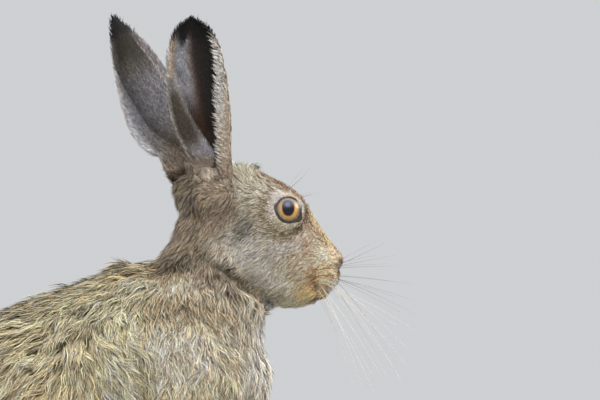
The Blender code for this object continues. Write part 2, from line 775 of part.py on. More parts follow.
def main():
    for obj in list(bpy.data.objects):
        bpy.data.objects.remove(obj)

    head = make_head()
    body = fleshed("torso", [*body_forms(), *head_forms()], voxel=2.4, smoothing=10)
    thinned(body, TRIANGLES["body"])
    nape, towards_head = NECK_TO_HEAD
    cut_at(head, nape + towards_head * GAP / 2, -towards_head)
    cut_at(body, nape - towards_head * GAP / 2, towards_head)

    for rows, leans in ((NEAR_EAR, NEAR_EAR_LEANS), (FAR_EAR, FAR_EAR_LEANS)):
        clear_ear_seat(head, rows, leans)
        clear_ear_seat(body, rows, leans)
    ear_right = make_ear("ear_right", NEAR_EAR, NEAR_EAR_OPENS, -1, NEAR_EAR_LEANS)
    ear_left = make_ear("ear_left", FAR_EAR, FAR_EAR_OPENS, 1, FAR_EAR_LEANS)

    neck = parted(body, "neck", *TORSO_TO_NECK)
    tail = parted(body, "tail", *TORSO_TO_TAIL, reach=60)
    nodes = [
        (ear_right, "ear_right", "ear_grey"),
        (ear_left, "ear_left", "ear_grey"),
        (neck, "neck", "coat_rufous"),
        (tail, "tail", "coat_white"),
    ]
    for name, side in (("left", 1), ("right", -1)):
        foreleg, forepaw = make_foreleg(body, name, side)
        haunch, hindfoot = make_hindleg(body, name, side)
        nodes += [
            (foreleg, "foreleg_" + name, "coat_rufous"),
            (forepaw, "forepaw_" + name, "coat_rufous"),
            (haunch, "thigh_" + name, "coat_brown"),
            (hindfoot, "hindfoot_" + name, "coat_rufous"),
            (make_whisker_pad(head, "whiskers_" + name, side), "whiskers_" + name, "lip_cream"),
            (make_eye("eye_" + name, side), "eye_" + name, "eye_amber"),
        ]
    nodes += [(head, "head", "coat_grey"), (body, "torso", "coat_brown")]
    hare = bpy.data.objects.new("hare", None)
    hare.location = WITHERS_TO_ORIGIN * MM
    bpy.context.scene.collection.objects.link(hare)
    for obj, name, colour in nodes:
        finish(obj, name, colour, hare)


main()
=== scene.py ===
import math

import bmesh
import bpy
import numpy as np
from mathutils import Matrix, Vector
from mathutils.bvhtree import BVHTree
from mathutils.kdtree import KDTree


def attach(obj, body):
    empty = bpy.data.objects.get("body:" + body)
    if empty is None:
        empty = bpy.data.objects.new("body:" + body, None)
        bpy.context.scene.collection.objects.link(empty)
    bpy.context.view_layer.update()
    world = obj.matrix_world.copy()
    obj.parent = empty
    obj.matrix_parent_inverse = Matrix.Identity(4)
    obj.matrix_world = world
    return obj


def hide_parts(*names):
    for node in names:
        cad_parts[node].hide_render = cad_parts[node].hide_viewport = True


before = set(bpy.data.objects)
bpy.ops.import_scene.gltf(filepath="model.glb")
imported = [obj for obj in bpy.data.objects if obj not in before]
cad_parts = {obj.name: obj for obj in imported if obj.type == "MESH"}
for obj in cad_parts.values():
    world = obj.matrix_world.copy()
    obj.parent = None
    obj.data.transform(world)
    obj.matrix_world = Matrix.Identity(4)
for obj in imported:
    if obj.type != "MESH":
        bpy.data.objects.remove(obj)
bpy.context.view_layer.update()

# Places are in the hare's own millimetres, from its withers, and become metres in each mesh.
withers = np.array([42.7, 0.0, 0.0])
headPivot = 45.0
headYaw = math.radians(6)    # the head looks a little to the hare's left
chance = np.random.default_rng(23)
bothSides = ((1, "Left"), (-1, "Right"))


def unit(v):
    return v / np.maximum(np.linalg.norm(v, axis=-1, keepdims=True), 1e-9)


def ease(low, high, x):
    t = np.clip((x - low) / (high - low), 0, 1)
    return t * t * (3 - 2 * t)


def bell(x, width):
    return np.exp(-(x / width) ** 2)


def dot(a, b):
    return (a * b).sum(-1)


def turnHead(p, way=1, vector=False):
    # turns places, or ways if vector is set, on the head about the top of the neck
    p = np.array(p, float)
    pivot = 0 if vector else headPivot
    c, s = math.cos(headYaw), math.sin(headYaw) * way
    x = p[..., 0] - pivot
    y = p[..., 1].copy()
    p[..., 0] = x * c - y * s + pivot
    p[..., 1] = x * s + y * c
    return p


def swung(a, b, degrees):
    # two ways at right angles, turned in their own plane
    c, s = math.cos(math.radians(degrees)), math.sin(math.radians(degrees))
    return a * c + b * s, b * c - a * s


def alongSkin(ways, normals):
    return unit(ways - normals * dot(ways, normals)[:, None])


def pit(p, centre, radii):
    # 1 in the middle of an egg, nearly 0 past its shell
    return np.exp(-(((p - centre) / radii) ** 2).sum(1))


def eggReach(p, centre, radii, tilt):
    # squared distance from the middle of a tilted egg, 1 at its shell
    dx, dy, dz = (p - centre).T
    dx, dz = swung(dx, dz, -tilt)
    return (dx / radii[0]) ** 2 + (dy / radii[1]) ** 2 + (dz / radii[2]) ** 2


def toSided(p, side):
    p = np.array(p, float)
    p[..., 1] *= side
    return p


def linear(colour):
    c = np.clip(np.asarray(colour, float) / 255, 0, 1)
    return np.where(c < 0.04045, c / 12.92, ((c + 0.055) / 1.055) ** 2.4)


def curveThrough(rows, steps):
    # rows on a smooth curve through the given rows
    rows = np.array(rows, float)
    ends = np.vstack([rows[:1], rows, rows[-1:]])
    made = []
    for p, q, r, s in zip(ends, ends[1:], ends[2:], ends[3:]):
        for i in range(steps):
            t = i / steps
            made.append(0.5 * (2 * q + (r - p) * t + (2 * p - 5 * q + 4 * r - s) * t**2
                               + (3 * q - p - 3 * r + s) * t**3))
    return np.array([*made, rows[-1]])


def meshFrom(name, points, faces):
    # an object from points in hare millimetres and faces that all have as many corners
    faces = np.asarray(faces, np.int32)
    starts = np.arange(0, faces.size, faces.shape[1]).astype(np.int32)
    mesh = bpy.data.meshes.new(name)
    mesh.vertices.add(len(points))
    mesh.vertices.foreach_set("co", ((points + withers) * 0.001).astype(np.float32).ravel())
    mesh.loops.add(faces.size)
    mesh.loops.foreach_set("vertex_index", faces.ravel())
    mesh.polygons.add(len(faces))
    mesh.polygons.foreach_set("loop_start", starts)
    mesh.update(calc_edges=True)
    mesh.shade_smooth()
    obj = bpy.data.objects.new(name, mesh)
    bpy.context.scene.collection.objects.link(obj)
    return obj


def arraysOf(mesh):
    # points in hare millimetres, and triangles
    mesh.calc_loop_triangles()
    points = np.empty(len(mesh.vertices) * 3, np.float32)
    mesh.vertices.foreach_get("co", points)
    faces = np.empty(len(mesh.loop_triangles) * 3, np.int32)
    mesh.loop_triangles.foreach_get("vertices", faces)
    return points.reshape(-1, 3).astype(float) * 1000 - withers, faces.reshape(-1, 3)


def applied(obj):
    # puts the result of the object's modifiers into its mesh
    graph = bpy.context.evaluated_depsgraph_get()
    graph.update()
    mesh = bpy.data.meshes.new_from_object(obj.evaluated_get(graph))
    obj.modifiers.clear()
    obj.data = mesh


def normalsOf(points, faces):
    a, b, c = (points[faces[:, k]] for k in range(3))
    face = np.cross(b - a, c - a)
    total = np.zeros_like(points)
    for k in range(3):
        for axis in range(3):
            total[:, axis] += np.bincount(faces[:, k], face[:, axis], len(points))
    return unit(total)


def edgesOf(faces):
    pairs = np.sort(np.vstack([faces[:, [0, 1]], faces[:, [1, 2]], faces[:, [2, 0]]]), axis=1)
    return np.unique(pairs, axis=0)


def wander(points, scale, seed):
    # a smooth field between about -1 and 1 that turns over within the scale
    way = np.random.default_rng(seed)
    total = np.zeros(len(points))
    for _ in range(7):
        wave = unit(way.normal(0, 1, 3)) * way.uniform(0.6, 1.5) * 2 * math.pi / scale
        total += np.sin(points @ wave + way.uniform(0, 6.3))
    return total / 3.2


def softened(values, edges, rounds, keep=0.4):
    # spreads values over the edges of a mesh
    a, b = edges.T
    flat = values.reshape(len(values), -1).astype(float)
    count = np.maximum(np.bincount(edges.ravel(), minlength=len(flat)), 1)
    for _ in range(rounds):
        for k in range(flat.shape[1]):
            column = flat[:, k]
            around = np.bincount(a, column[b], len(flat)) + np.bincount(b, column[a], len(flat))
            flat[:, k] = keep * column + (1 - keep) * around / count
    return flat.reshape(values.shape)


def mergedSolid(name, grow):
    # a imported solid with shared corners, grown a little so that the gaps close
    points, faces = arraysOf(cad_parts[name].data)
    keys, back = np.unique(np.round(points, 3), axis=0, return_inverse=True)
    faces = back.reshape(-1)[faces]
    a, b, c = faces.T
    faces = faces[(a != b) & (b != c) & (a != c)]
    return keys + normalsOf(keys, faces) * grow, faces


def eggMesh(centre, radii, tilt, side):
    # an egg on the head, tilted down towards the nose
    bm = bmesh.new()
    bmesh.ops.create_icosphere(bm, subdivisions=3, radius=1)
    points = np.array([v.co[:] for v in bm.verts])
    faces = np.array([[v.index for v in f.verts] for f in bm.faces])
    bm.free()
    points *= radii
    x, y, z = points.T
    x, z = swung(x, z, tilt)
    points = toSided(np.stack([x, y, z], 1) + centre, side)
    if side < 0:
        faces = faces[:, ::-1]
    return turnHead(points), faces


def ringFaces(count, sides):
    # quads between closed rings of points that follow one another
    i, k = np.meshgrid(np.arange(count - 1), np.arange(sides), indexing="ij")
    j = (k + 1) % sides
    quads = [i * sides + k, i * sides + j, (i + 1) * sides + j, (i + 1) * sides + k]
    return np.stack(quads, -1).reshape(-1, 4)


def halved(quads):
    return np.vstack([quads[:, [0, 1, 2]], quads[:, [0, 2, 3]]])


def tube(points, radii, sides):
    # a thin round horn along a line
    points = np.array(points, float)
    ahead = unit(np.gradient(points, axis=0))
    across = unit(np.cross(ahead, (0.3, 0.9, 0.2)))
    level = np.cross(ahead, across)
    turn = np.arange(sides) / sides * 2 * math.pi
    rings = points[:, None] + np.asarray(radii)[:, None, None] * (
        across[:, None] * np.cos(turn)[:, None] + level[:, None] * np.sin(turn)[:, None])
    return rings.reshape(-1, 3), ringFaces(len(points), sides)


def gathered(parts):
    # several (points, faces) as one
    points, faces, start = [], [], 0
    for p, f in parts:
        points.append(p)
        faces.append(np.asarray(f) + start)
        start += len(p)
    return np.vstack(points), np.vstack(faces)


def putOn(obj, material, slot, *replaced):
    obj.data.materials.clear()
    obj.data.materials.append(material)
    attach(obj, "root")
    if replaced:
        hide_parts(*replaced)


def pointValues(obj, name, values, kind="FLOAT"):
    attribute = obj.data.attributes.new(name, kind, "POINT")
    field = {"FLOAT": "value", "FLOAT_COLOR": "color", "FLOAT_VECTOR": "vector"}[kind]
    attribute.data.foreach_set(field, np.asarray(values, np.float32).ravel())


def withAlpha(colours):
    return np.hstack([colours, np.ones((len(colours), 1))])


# Makes and links the nodes of one material.
class Nodes:
    def __init__(self, name):
        self.material = bpy.data.materials.new(name)
        self.material.use_nodes = True
        self.tree = self.material.node_tree
        self.shader = self.tree.nodes["Principled BSDF"]

    def add(self, kind, settings=None, **inputs):
        node = self.tree.nodes.new("ShaderNode" + kind)
        for key, value in (settings or {}).items():
            setattr(node, key, value)
        for key, value in inputs.items():
            self.set(node, key, value)
        return node

    def set(self, node, key, value):
        numbered = key[0] == "i" and key[1:].isdigit()      # i0 is the first input
        socket = node.inputs[int(key[1:]) if numbered else key.replace("_", " ")]
        if isinstance(value, bpy.types.NodeSocket):
            self.tree.links.new(value, socket)
        else:
            socket.default_value = value

    def ramp(self, factor, stops):
        node = self.add("ValToRGB", Fac=factor)
        while len(node.color_ramp.elements) < len(stops):
            node.color_ramp.elements.new(0.5)
        for element, (place, colour) in zip(node.color_ramp.elements, stops):
            element.position = place
            element.color = (*(linear(colour) if max(colour) > 1 else colour), 1)
        return node.outputs["Color"]

    def mix(self, factor, a, b, blend="MIX"):
        node = self.add("Mix", {"data_type": "RGBA", "blend_type": blend})
        self.set(node, "i0", factor)
        self.set(node, "i6", a)
        self.set(node, "i7", b)
        return node.outputs[2]

    def shaded(self, share, tone, factor, stops):
        return self.mix(share, tone, self.ramp(factor, stops), "MULTIPLY")

    def noise(self, scale, detail, vector=None):
        vector = vector or self.add("TexCoord").outputs["Object"]
        return self.add("TexNoise", Scale=scale, Detail=detail, Vector=vector).outputs["Fac"]

    def attribute(self, name):
        return self.add("Attribute", {"attribute_name": name}).outputs

    def timesPlus(self, a, b, c):
        return self.add("Math", {"operation": "MULTIPLY_ADD"}, i0=a, i1=b, i2=c).outputs[0]

    def bump(self, height, strength, distance):
        node = self.add("Bump", Height=height, Strength=strength, Distance=distance)
        self.set(self.shader, "Normal", node.outputs["Normal"])

    def finish(self, **sockets):
        for key, value in sockets.items():
            self.set(self.shader, key, value)
        return self.material


def skinMaterial():
    n = Nodes("short under fur")
    grain, patch = n.noise(900, 3), n.noise(120, 2)
    tone = n.attribute("coat")["Color"]
    tone = n.shaded(0.6, tone, grain, [(0.3, (0.55, 0.55, 0.55)), (0.7, (1, 1, 1))])
    tone = n.shaded(0.4, tone, patch, [(0.3, (0.7, 0.7, 0.7)), (0.7, (1, 1, 1))])
    n.bump(grain, 0.5, 0.0008)
    return n.finish(Base_Color=tone, Roughness=0.75, Specular_IOR_Level=0.25)


def coatMaterial(name, roughness, sheen):
    n = Nodes(name)
    along = n.attribute("along")["Fac"]
    strand = n.attribute("strand")["Fac"]
    tone = n.attribute("coat")["Color"]
    tone = n.shaded(1.0, tone, along, [
        (0.0, (0.6, 0.58, 0.56)), (0.3, (0.9, 0.9, 0.89)), (0.7, (1, 1, 1)), (1.0, (1, 1, 1))])
    tone = n.shaded(0.55, tone, strand, [
        (0.0, (0.68, 0.66, 0.64)), (0.5, (1, 1, 1)), (1.0, (1.3, 1.28, 1.24))])
    tone = n.shaded(0.35, tone, n.noise(700, 2), [
        (0.35, (0.72, 0.72, 0.72)), (0.65, (1.08, 1.08, 1.08))])
    return n.finish(Base_Color=tone, Roughness=roughness, Specular_IOR_Level=0.3,
                    Sheen_Weight=sheen, Sheen_Roughness=0.5)


def eyeMaterial():
    n = Nodes("amber eye")
    ring = n.attribute("ring")["Fac"]          # millimetres from the middle of the pupil, over ten
    streaks = n.noise(5.0, 3, n.attribute("spokes")["Vector"])
    iris = n.ramp(n.timesPlus(streaks, 0.06, ring), [
        (0.00, (15, 18, 30)), (0.40, (18, 19, 28)), (0.43, (96, 70, 40)), (0.47, (204, 158, 92)),
        (0.60, (206, 162, 98)), (0.68, (158, 130, 86)), (0.78, (116, 104, 80)), (0.90, (40, 35, 32))])
    tone = n.shaded(0.45, iris, streaks, [(0.3, (0.55, 0.5, 0.45)), (0.65, (1.1, 1.1, 1.1))])
    # painted shade of the lids and a painted reflection of the sky, mixed over the iris
    for name, grey in (("lidShade", (122, 116, 102)), ("skyReflection", (88, 92, 114))):
        tone = n.mix(n.attribute(name)["Fac"], tone, (*linear(grey), 1))
    return n.finish(Base_Color=tone, Roughness=0.34, IOR=1.34, Coat_Weight=0.16,
                    Coat_Roughness=0.12, Coat_IOR=1.4)


def plainMaterial(name, dark, pale, roughness, scale, bump=0.3, distance=0.0004, coat=0.0):
    # a smooth finish that varies between two tones
    n = Nodes(name)
    grain = n.noise(scale, 4)
    n.bump(grain, bump, distance)
    return n.finish(Base_Color=n.ramp(grain, [(0.3, dark), (0.7, pale)]), Roughness=roughness,
                    Coat_Weight=coat, Coat_Roughness=0.15)


studio = {
    "eye": (0.1549, -3.0, 0.298), "lens": 272.7, "sensor": 36, "sees": 60,
    "floorRadius": 3.0, "floorSides": 96, "floorTones": ((166, 165, 162), (173, 172, 169)),
    "sky": (0.83, 0.85, 0.87), "skyStrength": 0.74,
    # name, place, aim, size, power, colour
    "lamps": [
        ("sky", (0.35, -1.7, 2.3), (0.08, 0, 0.24), 2.0, 88, (1.0, 0.965, 0.98)),
        ("side", (2.6, 0.7, 1.5), (0.1, 0, 0.25), 1.3, 82, (1.0, 0.93, 0.85)),
        ("back", (0.2, 2.3, 1.9), (0.1, 0, 0.3), 1.2, 34, (1.0, 0.96, 0.92)),
        ("fill", (-1.9, -1.9, 1.1), (0.05, 0, 0.2), 1.8, 16, (0.98, 0.97, 1.0)),
    ],
}


def areaLight(name, place, target, size, power, colour):
    light = bpy.data.lights.new(name, "AREA")
    light.shape = "DISK"
    light.size = size
    light.energy = power
    light.color = colour
    lamp = bpy.data.objects.new(name, light)
    lamp.location = place
    lamp.rotation_euler = (Vector(target) - Vector(place)).to_track_quat("-Z", "Y").to_euler()
    lamp.visible_camera = False
    bpy.context.scene.collection.objects.link(lamp)


def buildStudio():
    camera = bpy.data.cameras.new("camera")
    camera.lens = studio["lens"]
    camera.sensor_width = studio["sensor"]
    camera.clip_end = studio["sees"]
    eye = bpy.data.objects.new("camera", camera)
    eye.location = studio["eye"]
    eye.rotation_euler = (math.radians(90), 0, 0)
    bpy.context.scene.collection.objects.link(eye)
    bpy.context.scene.camera = eye

    bm = bmesh.new()
    bmesh.ops.create_circle(bm, cap_ends=True, radius=studio["floorRadius"], segments=studio["floorSides"])
    mesh = bpy.data.meshes.new("floor")
    bm.to_mesh(mesh)
    bm.free()
    floor = bpy.data.objects.new("floor", mesh)
    bpy.context.scene.collection.objects.link(floor)
    n = Nodes("pale floor")
    tone = n.ramp(n.noise(40, 3), list(zip((0.3, 0.7), studio["floorTones"])))
    mesh.materials.append(n.finish(Base_Color=tone, Roughness=0.9))

    world = bpy.data.worlds.new("studio")
    world.use_nodes = True
    background = world.node_tree.nodes["Background"]
    background.inputs["Color"].default_value = (*studio["sky"], 1)
    background.inputs["Strength"].default_value = studio["skyStrength"]
    bpy.context.scene.world = world
    for lamp in studio["lamps"]:
        areaLight(*lamp)
    bpy.context.scene.view_settings.view_transform = "Standard"
    bpy.context.scene.view_settings.look = "None"


eyes = {
    "at": (102.0, 17.6, 291.0), "looks": (0.13, 0.98, 0.12), "radius": 9.5, "cornea": 0.012,
    # the meshes of the ball and lids, and the degrees of the ball that are made
    "rings": 40, "sides": 72, "lidSides": 96, "shown": 116,
    "lidInner": 7.5, "lidOuter": 8.0, "ballReach": 8.3,
    "frontCorner": (-38, 17, 2.1), "rearCorner": (168, 15, 0.8),   # where, how wide, how far
    "irisLift": 5.5, "irisTurn": -7, "pupil": (3.55, 4.75),
}


def eyeFrame(side):
    # the middle of an eye and its ways ahead, to the nose and up
    at = turnHead(toSided(eyes["at"], side))
    looks = unit(turnHead(toSided(eyes["looks"], side), vector=True))
    nose = turnHead(np.array([1.0, 0, 0]), vector=True)
    nose = unit(nose - looks * dot(nose, looks))
    up = np.cross(looks, nose)
    return at, looks, nose, up * np.sign(up[2])


def cornerStretch(turn):
    # how far the lids reach out at their corners, for angles about the look of the eye
    reach = 0
    for where, wide, far in (eyes["frontCorner"], eyes["rearCorner"]):
        away = (turn - math.radians(where) + math.pi) % (2 * math.pi) - math.pi
        reach = reach + far * bell(away, math.radians(wide))
    return reach


def eyePolar(points, side):
    # distance from the look line, angle about it and height along it
    at, looks, nose, up = eyeFrame(side)
    away = points - at
    f, u = dot(away, nose), dot(away, up)
    return np.hypot(f, u), np.arctan2(u, f), dot(away, looks)


def turnedFrom(turn, degrees):
    # angles from the given one, up to half a turn each way
    return np.angle(np.exp(1j * (turn - math.radians(degrees))))


def buildEye(side, name):
    at, looks, nose, up = eyeFrame(side)
    looks, nose = swung(looks, nose, eyes["irisTurn"])
    gaze, rise = swung(looks, up, eyes["irisLift"])
    radius, rings, sides = eyes["radius"], eyes["rings"], eyes["sides"]
    tilt = np.linspace(0, math.radians(eyes["shown"]), rings + 1)[1:]
    turn = np.arange(sides) / sides * 2 * math.pi
    bulge = 1 + eyes["cornea"] * bell(tilt, 0.55)
    out = np.cos(turn)[None, :, None] * nose + np.sin(turn)[None, :, None] * rise
    points = at + radius * bulge[:, None, None] * (
        np.cos(tilt)[:, None, None] * gaze + np.sin(tilt)[:, None, None] * out)
    points = np.vstack([points.reshape(-1, 3), at + radius * (1 + eyes["cornea"]) * gaze])
    faces = ringFaces(rings, sides)[:, [0, 3, 2, 1]]
    obj = meshFrom(name, points, faces if side < 0 else faces[:, ::-1])
    bm = bmesh.new()
    bm.from_mesh(obj.data)
    bm.verts.ensure_lookup_table()
    for k in range(sides):                     # the tip of the cornea
        bm.faces.new([bm.verts[rings * sides], bm.verts[k], bm.verts[(k + 1) % sides]])
    bmesh.ops.recalc_face_normals(bm, faces=bm.faces)
    bm.to_mesh(obj.data)
    bm.free()
    obj.data.shade_smooth()
    away = points - at
    f, u = dot(away, nose), dot(away, rise)
    wide, tall = eyes["pupil"]
    ring = np.hypot(f, u * wide / tall * (1 + 0.16 * ease(4, 8, np.abs(u))))
    turned = np.arctan2(u, f)
    pointValues(obj, "ring", ring / 10)
    spokes = np.stack([np.cos(turned) * 3.2, np.sin(turned) * 3.2, ring * 0.05], 1)
    pointValues(obj, "spokes", spokes, "FLOAT_VECTOR")
    # painted shade of the lids, then a painted reflection of the sky in the eye
    lidShade = ease(4.2, 7.5, ring) * ease(0.1, 0.9, np.cos(turned - math.radians(178))) * 0.9
    lidShade = np.maximum(lidShade, ease(1.2, 4.6, u) * ease(3.7, 4.5, ring) * 0.85)
    pointValues(obj, "lidShade", lidShade)
    skyReflection = ease(-0.8, 4.4, u) * ease(5.0, 3.2, np.abs(f)) * (0.25 + 0.45 * ease(4.4, 3.7, ring))
    pointValues(obj, "skyReflection", skyReflection)
    putOn(obj, eyeMaterial(), "eye_amber", "eye_left" if side > 0 else "eye_right")


def buildLids(side, name, material):
    # the dark moist edge of both lids, drawn out to a point towards the nose
    at, looks, nose, up = eyeFrame(side)
    sides = eyes["lidSides"]
    turn = np.arange(sides) / sides * 2 * math.pi
    stretch = cornerStretch(turn)
    inner, outer = eyes["lidInner"], eyes["lidOuter"]
    # how far out, its share of the corners, and how proud of the ball
    profile = [(inner - 0.25, 0.35, -0.25), (inner, 0.35, 0.1), (inner + 0.45, 0.6, 0.34),
               (outer + 0.2, 0.85, 0.42), (outer + 0.6, 1.0, 0.36), (outer + 1.1, 1.0, 0.02),
               (outer + 1.6, 1.0, -1.6)]
    rings = []
    for reach, share, proud in profile:
        flat = reach + stretch * share
        onBall = np.sqrt(np.maximum(eyes["radius"] ** 2 - np.minimum(flat, eyes["ballReach"]) ** 2, 0))
        height = onBall + proud - 0.25 * stretch * share
        rings.append(at + flat[:, None] * (np.cos(turn)[:, None] * nose + np.sin(turn)[:, None] * up)
                     + height[:, None] * looks)
    faces = ringFaces(len(profile), sides)[:, [0, 3, 2, 1]]
    obj = meshFrom(name, np.vstack(rings), faces if side < 0 else faces[:, ::-1])
    putOn(obj, material, "coat_grey")


# How deep the skin lies under the tips of the coat, for each part.
coatDepth = {"head": 2.0, "neck": 6.0, "torso": 7.0, "tail": 8.0, "thigh": 6.0, "foreleg": 2.6,
             "forepaw": 1.5, "hindfoot": 1.9}
partNames = [*coatDepth, "ear"]
skinPlan = {
    "voxel": 0.95, "smoothing": 8, "triangles": 105000,
    "mouth": [(125.5, 228), (124.4, 234.5), (122.6, 240), (120.5, 243.5)],
    "nostril": ((141.4, 3.4, 258), (2.7, 1.2, 1.7), 50),
    "crease": [(44, 267), (55, 258), (68, 250.5), (80, 243.5), (92, 237)],    # behind the cheek
    # places where the skin lies less or more deep: centre, radii and share or depth
    "breast": ((88, 0, 168), (18, 30, 20), 0.48), "chin": ((127, 0, 230.5), (5.5, 12, 4.5), 2.6),
    "lipDepth": 1.1, "cheekMore": 1.8, "napeMore": 0.9, "eyeDepth": 0.4,
    "backMore": 3.5, "chestMore": 5.0, "creaseMore": 5.0, "creaseWidth": 4.5, "rounds": 14,
    "rootMiddle": 6, "rootClear": (15, 24), "rootShare": 0.12, "soleClear": (0.5, 9), "soleShare": 0.06,
    "sinkSteps": 3, "mouthGroove": (2.1, 1.2), "lipGroove": (1.6, 0.8), "nostrilDeep": 1.7, "least": 0.25,
    # round the lids: the height of their rim, its slope, the fold beyond it and where that ends
    "rim": 4.7, "slope": 0.30, "fold": (0.9, 4.8, 6), "foldEnds": (18, 10.5), "lidReach": 19,
    # eggs that fill the lips and the sockets
    "ball": (10.3, 10.3, 10.3),
    "fills": [
        ((128, 7.4, 247.5), (10.5, 7.8, 9.5), 40), ((122, 6, 247), (14, 8, 12), 0),
        ((124, 3, 237.5), (9, 9, 8), -35), ((136.9, 3.6, 258.2), (5.2, 4.2, 5.6), 40),
    ],
    # foot and way up of the root of each ear, and its (height, radius) along it
    "earRoots": [((56, -21.5, 303), (0.0, -0.08, 1.0)), ((43.5, 21.5, 300), (-0.40, 0.09, 0.91))],
    "rootSides": 32,
    "earRoot": [(-14, 8.0), (-9, 12.6), (0, 13.0), (5, 12.2), (9, 11.1), (12, 10.0), (14, 8.6), (15, 5)],
}


def partOf(name):
    return name.rsplit("_", 1)[0] if name.endswith(("_left", "_right")) else name


def fleshSource():
    # the flesh nodes, grown until they meet, with the seats of the ears and lips filled
    parts, labels = [], []
    for name in sorted(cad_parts):
        part = partOf(name)
        if part in coatDepth:
            parts.append(mergedSolid(name, 0.25))
            labels.append(np.full(len(parts[-1][1]), partNames.index(part)))
    for side, _ in bothSides:
        for centre, radii, tilt in (*skinPlan["fills"], (eyes["at"], skinPlan["ball"], 0)):
            parts.append(eggMesh(centre, radii, tilt, side))
    sides = skinPlan["rootSides"]
    for foot, way in skinPlan["earRoots"]:
        heights, radii = zip(*skinPlan["earRoot"])
        line = np.array(foot) + np.outer(heights, unit(np.array(way)))
        rings, quads = tube(line, radii, sides)
        rings = np.vstack([rings, line[:1], line[-1:]])
        k = np.arange(sides)
        j = (k + 1) % sides
        low, high = np.full(sides, len(rings) - 2), np.full(sides, len(rings) - 1)
        top = (len(line) - 1) * sides
        ends = [np.stack([low, j, k], 1), np.stack([high, top + k, top + j], 1)]
        parts.append((rings, np.vstack([halved(quads), *ends])))
    labels += [np.zeros(len(f), int) for _, f in parts[len(labels):]]      # all of the head
    points, faces = gathered(parts)
    return points, faces, np.concatenate(labels)


def nearestLabels(points, tree, labels):
    return np.array([labels[tree.find_nearest(p)[2]] for p in points.tolist()])


def lineDistance(x, z, line):
    # distance in side view from a line of (x, z) points
    best = np.full(len(x), 1e9)
    for (ax, az), (bx, bz) in zip(line, line[1:]):
        dx, dz = bx - ax, bz - az
        t = np.clip(((x - ax) * dx + (z - az) * dz) / (dx * dx + dz * dz), 0, 1)
        best = np.minimum(best, np.hypot(x - ax - t * dx, z - az - t * dz))
    return best


def headPlaces(points):
    # places in the head's own straight frame, with both sides as one
    p = turnHead(points, -1)
    p[:, 1] = np.abs(p[:, 1])
    return p


def skinDepth(points, faces, labels, edges):
    # how far the skin sinks under the tips of the coat
    h = headPlaces(points)
    x, y, z = points.T
    isHead, trunk = labels == 0, np.isin(labels, [1, 2])
    depth = np.array([coatDepth[n] for n in partNames[:-1]])[labels]
    cheek, nape = ease(116, 92, h[:, 0]), ease(90, 66, h[:, 0])
    onHead = skinPlan["lipDepth"] + skinPlan["cheekMore"] * cheek + skinPlan["napeMore"] * nape
    depth[isHead] = onHead[isHead]
    for side, _ in bothSides:
        away, _, height = eyePolar(points, side)
        clear = ease(9, 17, away)
        besideEye = depth * clear + skinPlan["eyeDepth"] * (1 - clear)
        depth = np.where((height > 0) & isHead, besideEye, depth)
    normal = normalsOf(points, faces)
    depth += skinPlan["backMore"] * ease(0.1, 0.7, normal[:, 2]) * ease(30, 0, x) * trunk
    depth += (skinPlan["chestMore"] * ease(0.1, 0.7, normal[:, 0]) * ease(60, 80, x)
              * ease(236, 216, z) * ease(182, 202, z) * ease(34, 16, np.abs(y)) * trunk)
    centre, radii, share = skinPlan["breast"]
    depth *= 1 - share * pit(points, centre, radii) * trunk
    centre, radii, deep = skinPlan["chin"]
    depth += deep * isHead * pit(h, centre, radii)
    crease = bell(lineDistance(x, z, skinPlan["crease"]), skinPlan["creaseWidth"])
    depth += skinPlan["creaseMore"] * crease * ease(10, 20, np.abs(y))
    depth = softened(depth, edges, skinPlan["rounds"])
    share = skinPlan["rootShare"]
    for foot, way in skinPlan["earRoots"]:
        middle = np.array(foot) + unit(np.array(way)) * skinPlan["rootMiddle"]
        away = np.linalg.norm(points - middle, axis=1)
        depth *= share + (1 - share) * ease(*skinPlan["rootClear"], away)
    share = skinPlan["soleShare"]      # the feet still stand on the floor
    return depth * (share + (1 - share) * ease(*skinPlan["soleClear"], z))


def roundLids(points):
    # inside the lids the skin sinks under the ball, and beside them it folds low
    for side, _ in bothSides:
        looks = eyeFrame(side)[1]
        away, turn, height = eyePolar(points, side)
        stretch = cornerStretch(turn)
        edge = eyes["lidOuter"] + stretch
        beyond = np.maximum(away - edge, 0)
        near = (height > 0) & (away < skinPlan["lidReach"])
        inside = near & (away < edge - 0.15)
        onBall = (eyes["radius"] - 0.9) ** 2 - np.minimum(away, eyes["ballReach"]) ** 2
        sunk = np.sqrt(np.maximum(onBall, 0.5)) - 0.4
        rim = skinPlan["rim"] - 0.25 * stretch - beyond * skinPlan["slope"]
        begins, ends, most = skinPlan["fold"]
        fold = np.minimum(np.maximum(height, rim), rim + most * ease(begins, ends, beyond))
        folded = height + (fold - height) * ease(*skinPlan["foldEnds"], away)
        wanted = np.where(inside, np.minimum(height, sunk), folded)
        points = points + looks * (np.where(near, wanted - height, 0))[:, None]
    return points


def shapedSkin(points, faces, labels):
    # sinks the skin under the coat and shapes the mouth, nostrils and lids
    edges = edgesOf(faces)
    depth = skinDepth(points, faces, labels, edges)
    steps = skinPlan["sinkSteps"]
    for _ in range(steps):
        points = points - normalsOf(points, faces) * (depth / steps)[:, None]
        eased = softened(points, edges, 1, 0.5)
        points = points + (eased - points) * ease(1.0, 4.0, depth)[:, None]
    h = headPlaces(points)
    x, y, z = h.T
    deep, wide = skinPlan["mouthGroove"]
    groove = deep * bell(lineDistance(x, z, skinPlan["mouth"]), wide) * (y < 15)
    deep, wide = skinPlan["lipGroove"]      # the split of the upper lip
    groove = groove + deep * bell(y, wide) * ease(133, 136, x) * ease(234, 238, z) * ease(258, 254, z)
    groove = groove + skinPlan["nostrilDeep"] * np.exp(-eggReach(h, *skinPlan["nostril"]))
    points = points - normalsOf(points, faces) * (groove * (labels == 0))[:, None]
    points = roundLids(points)
    points[:, 2] = np.maximum(points[:, 2], skinPlan["least"])
    return points


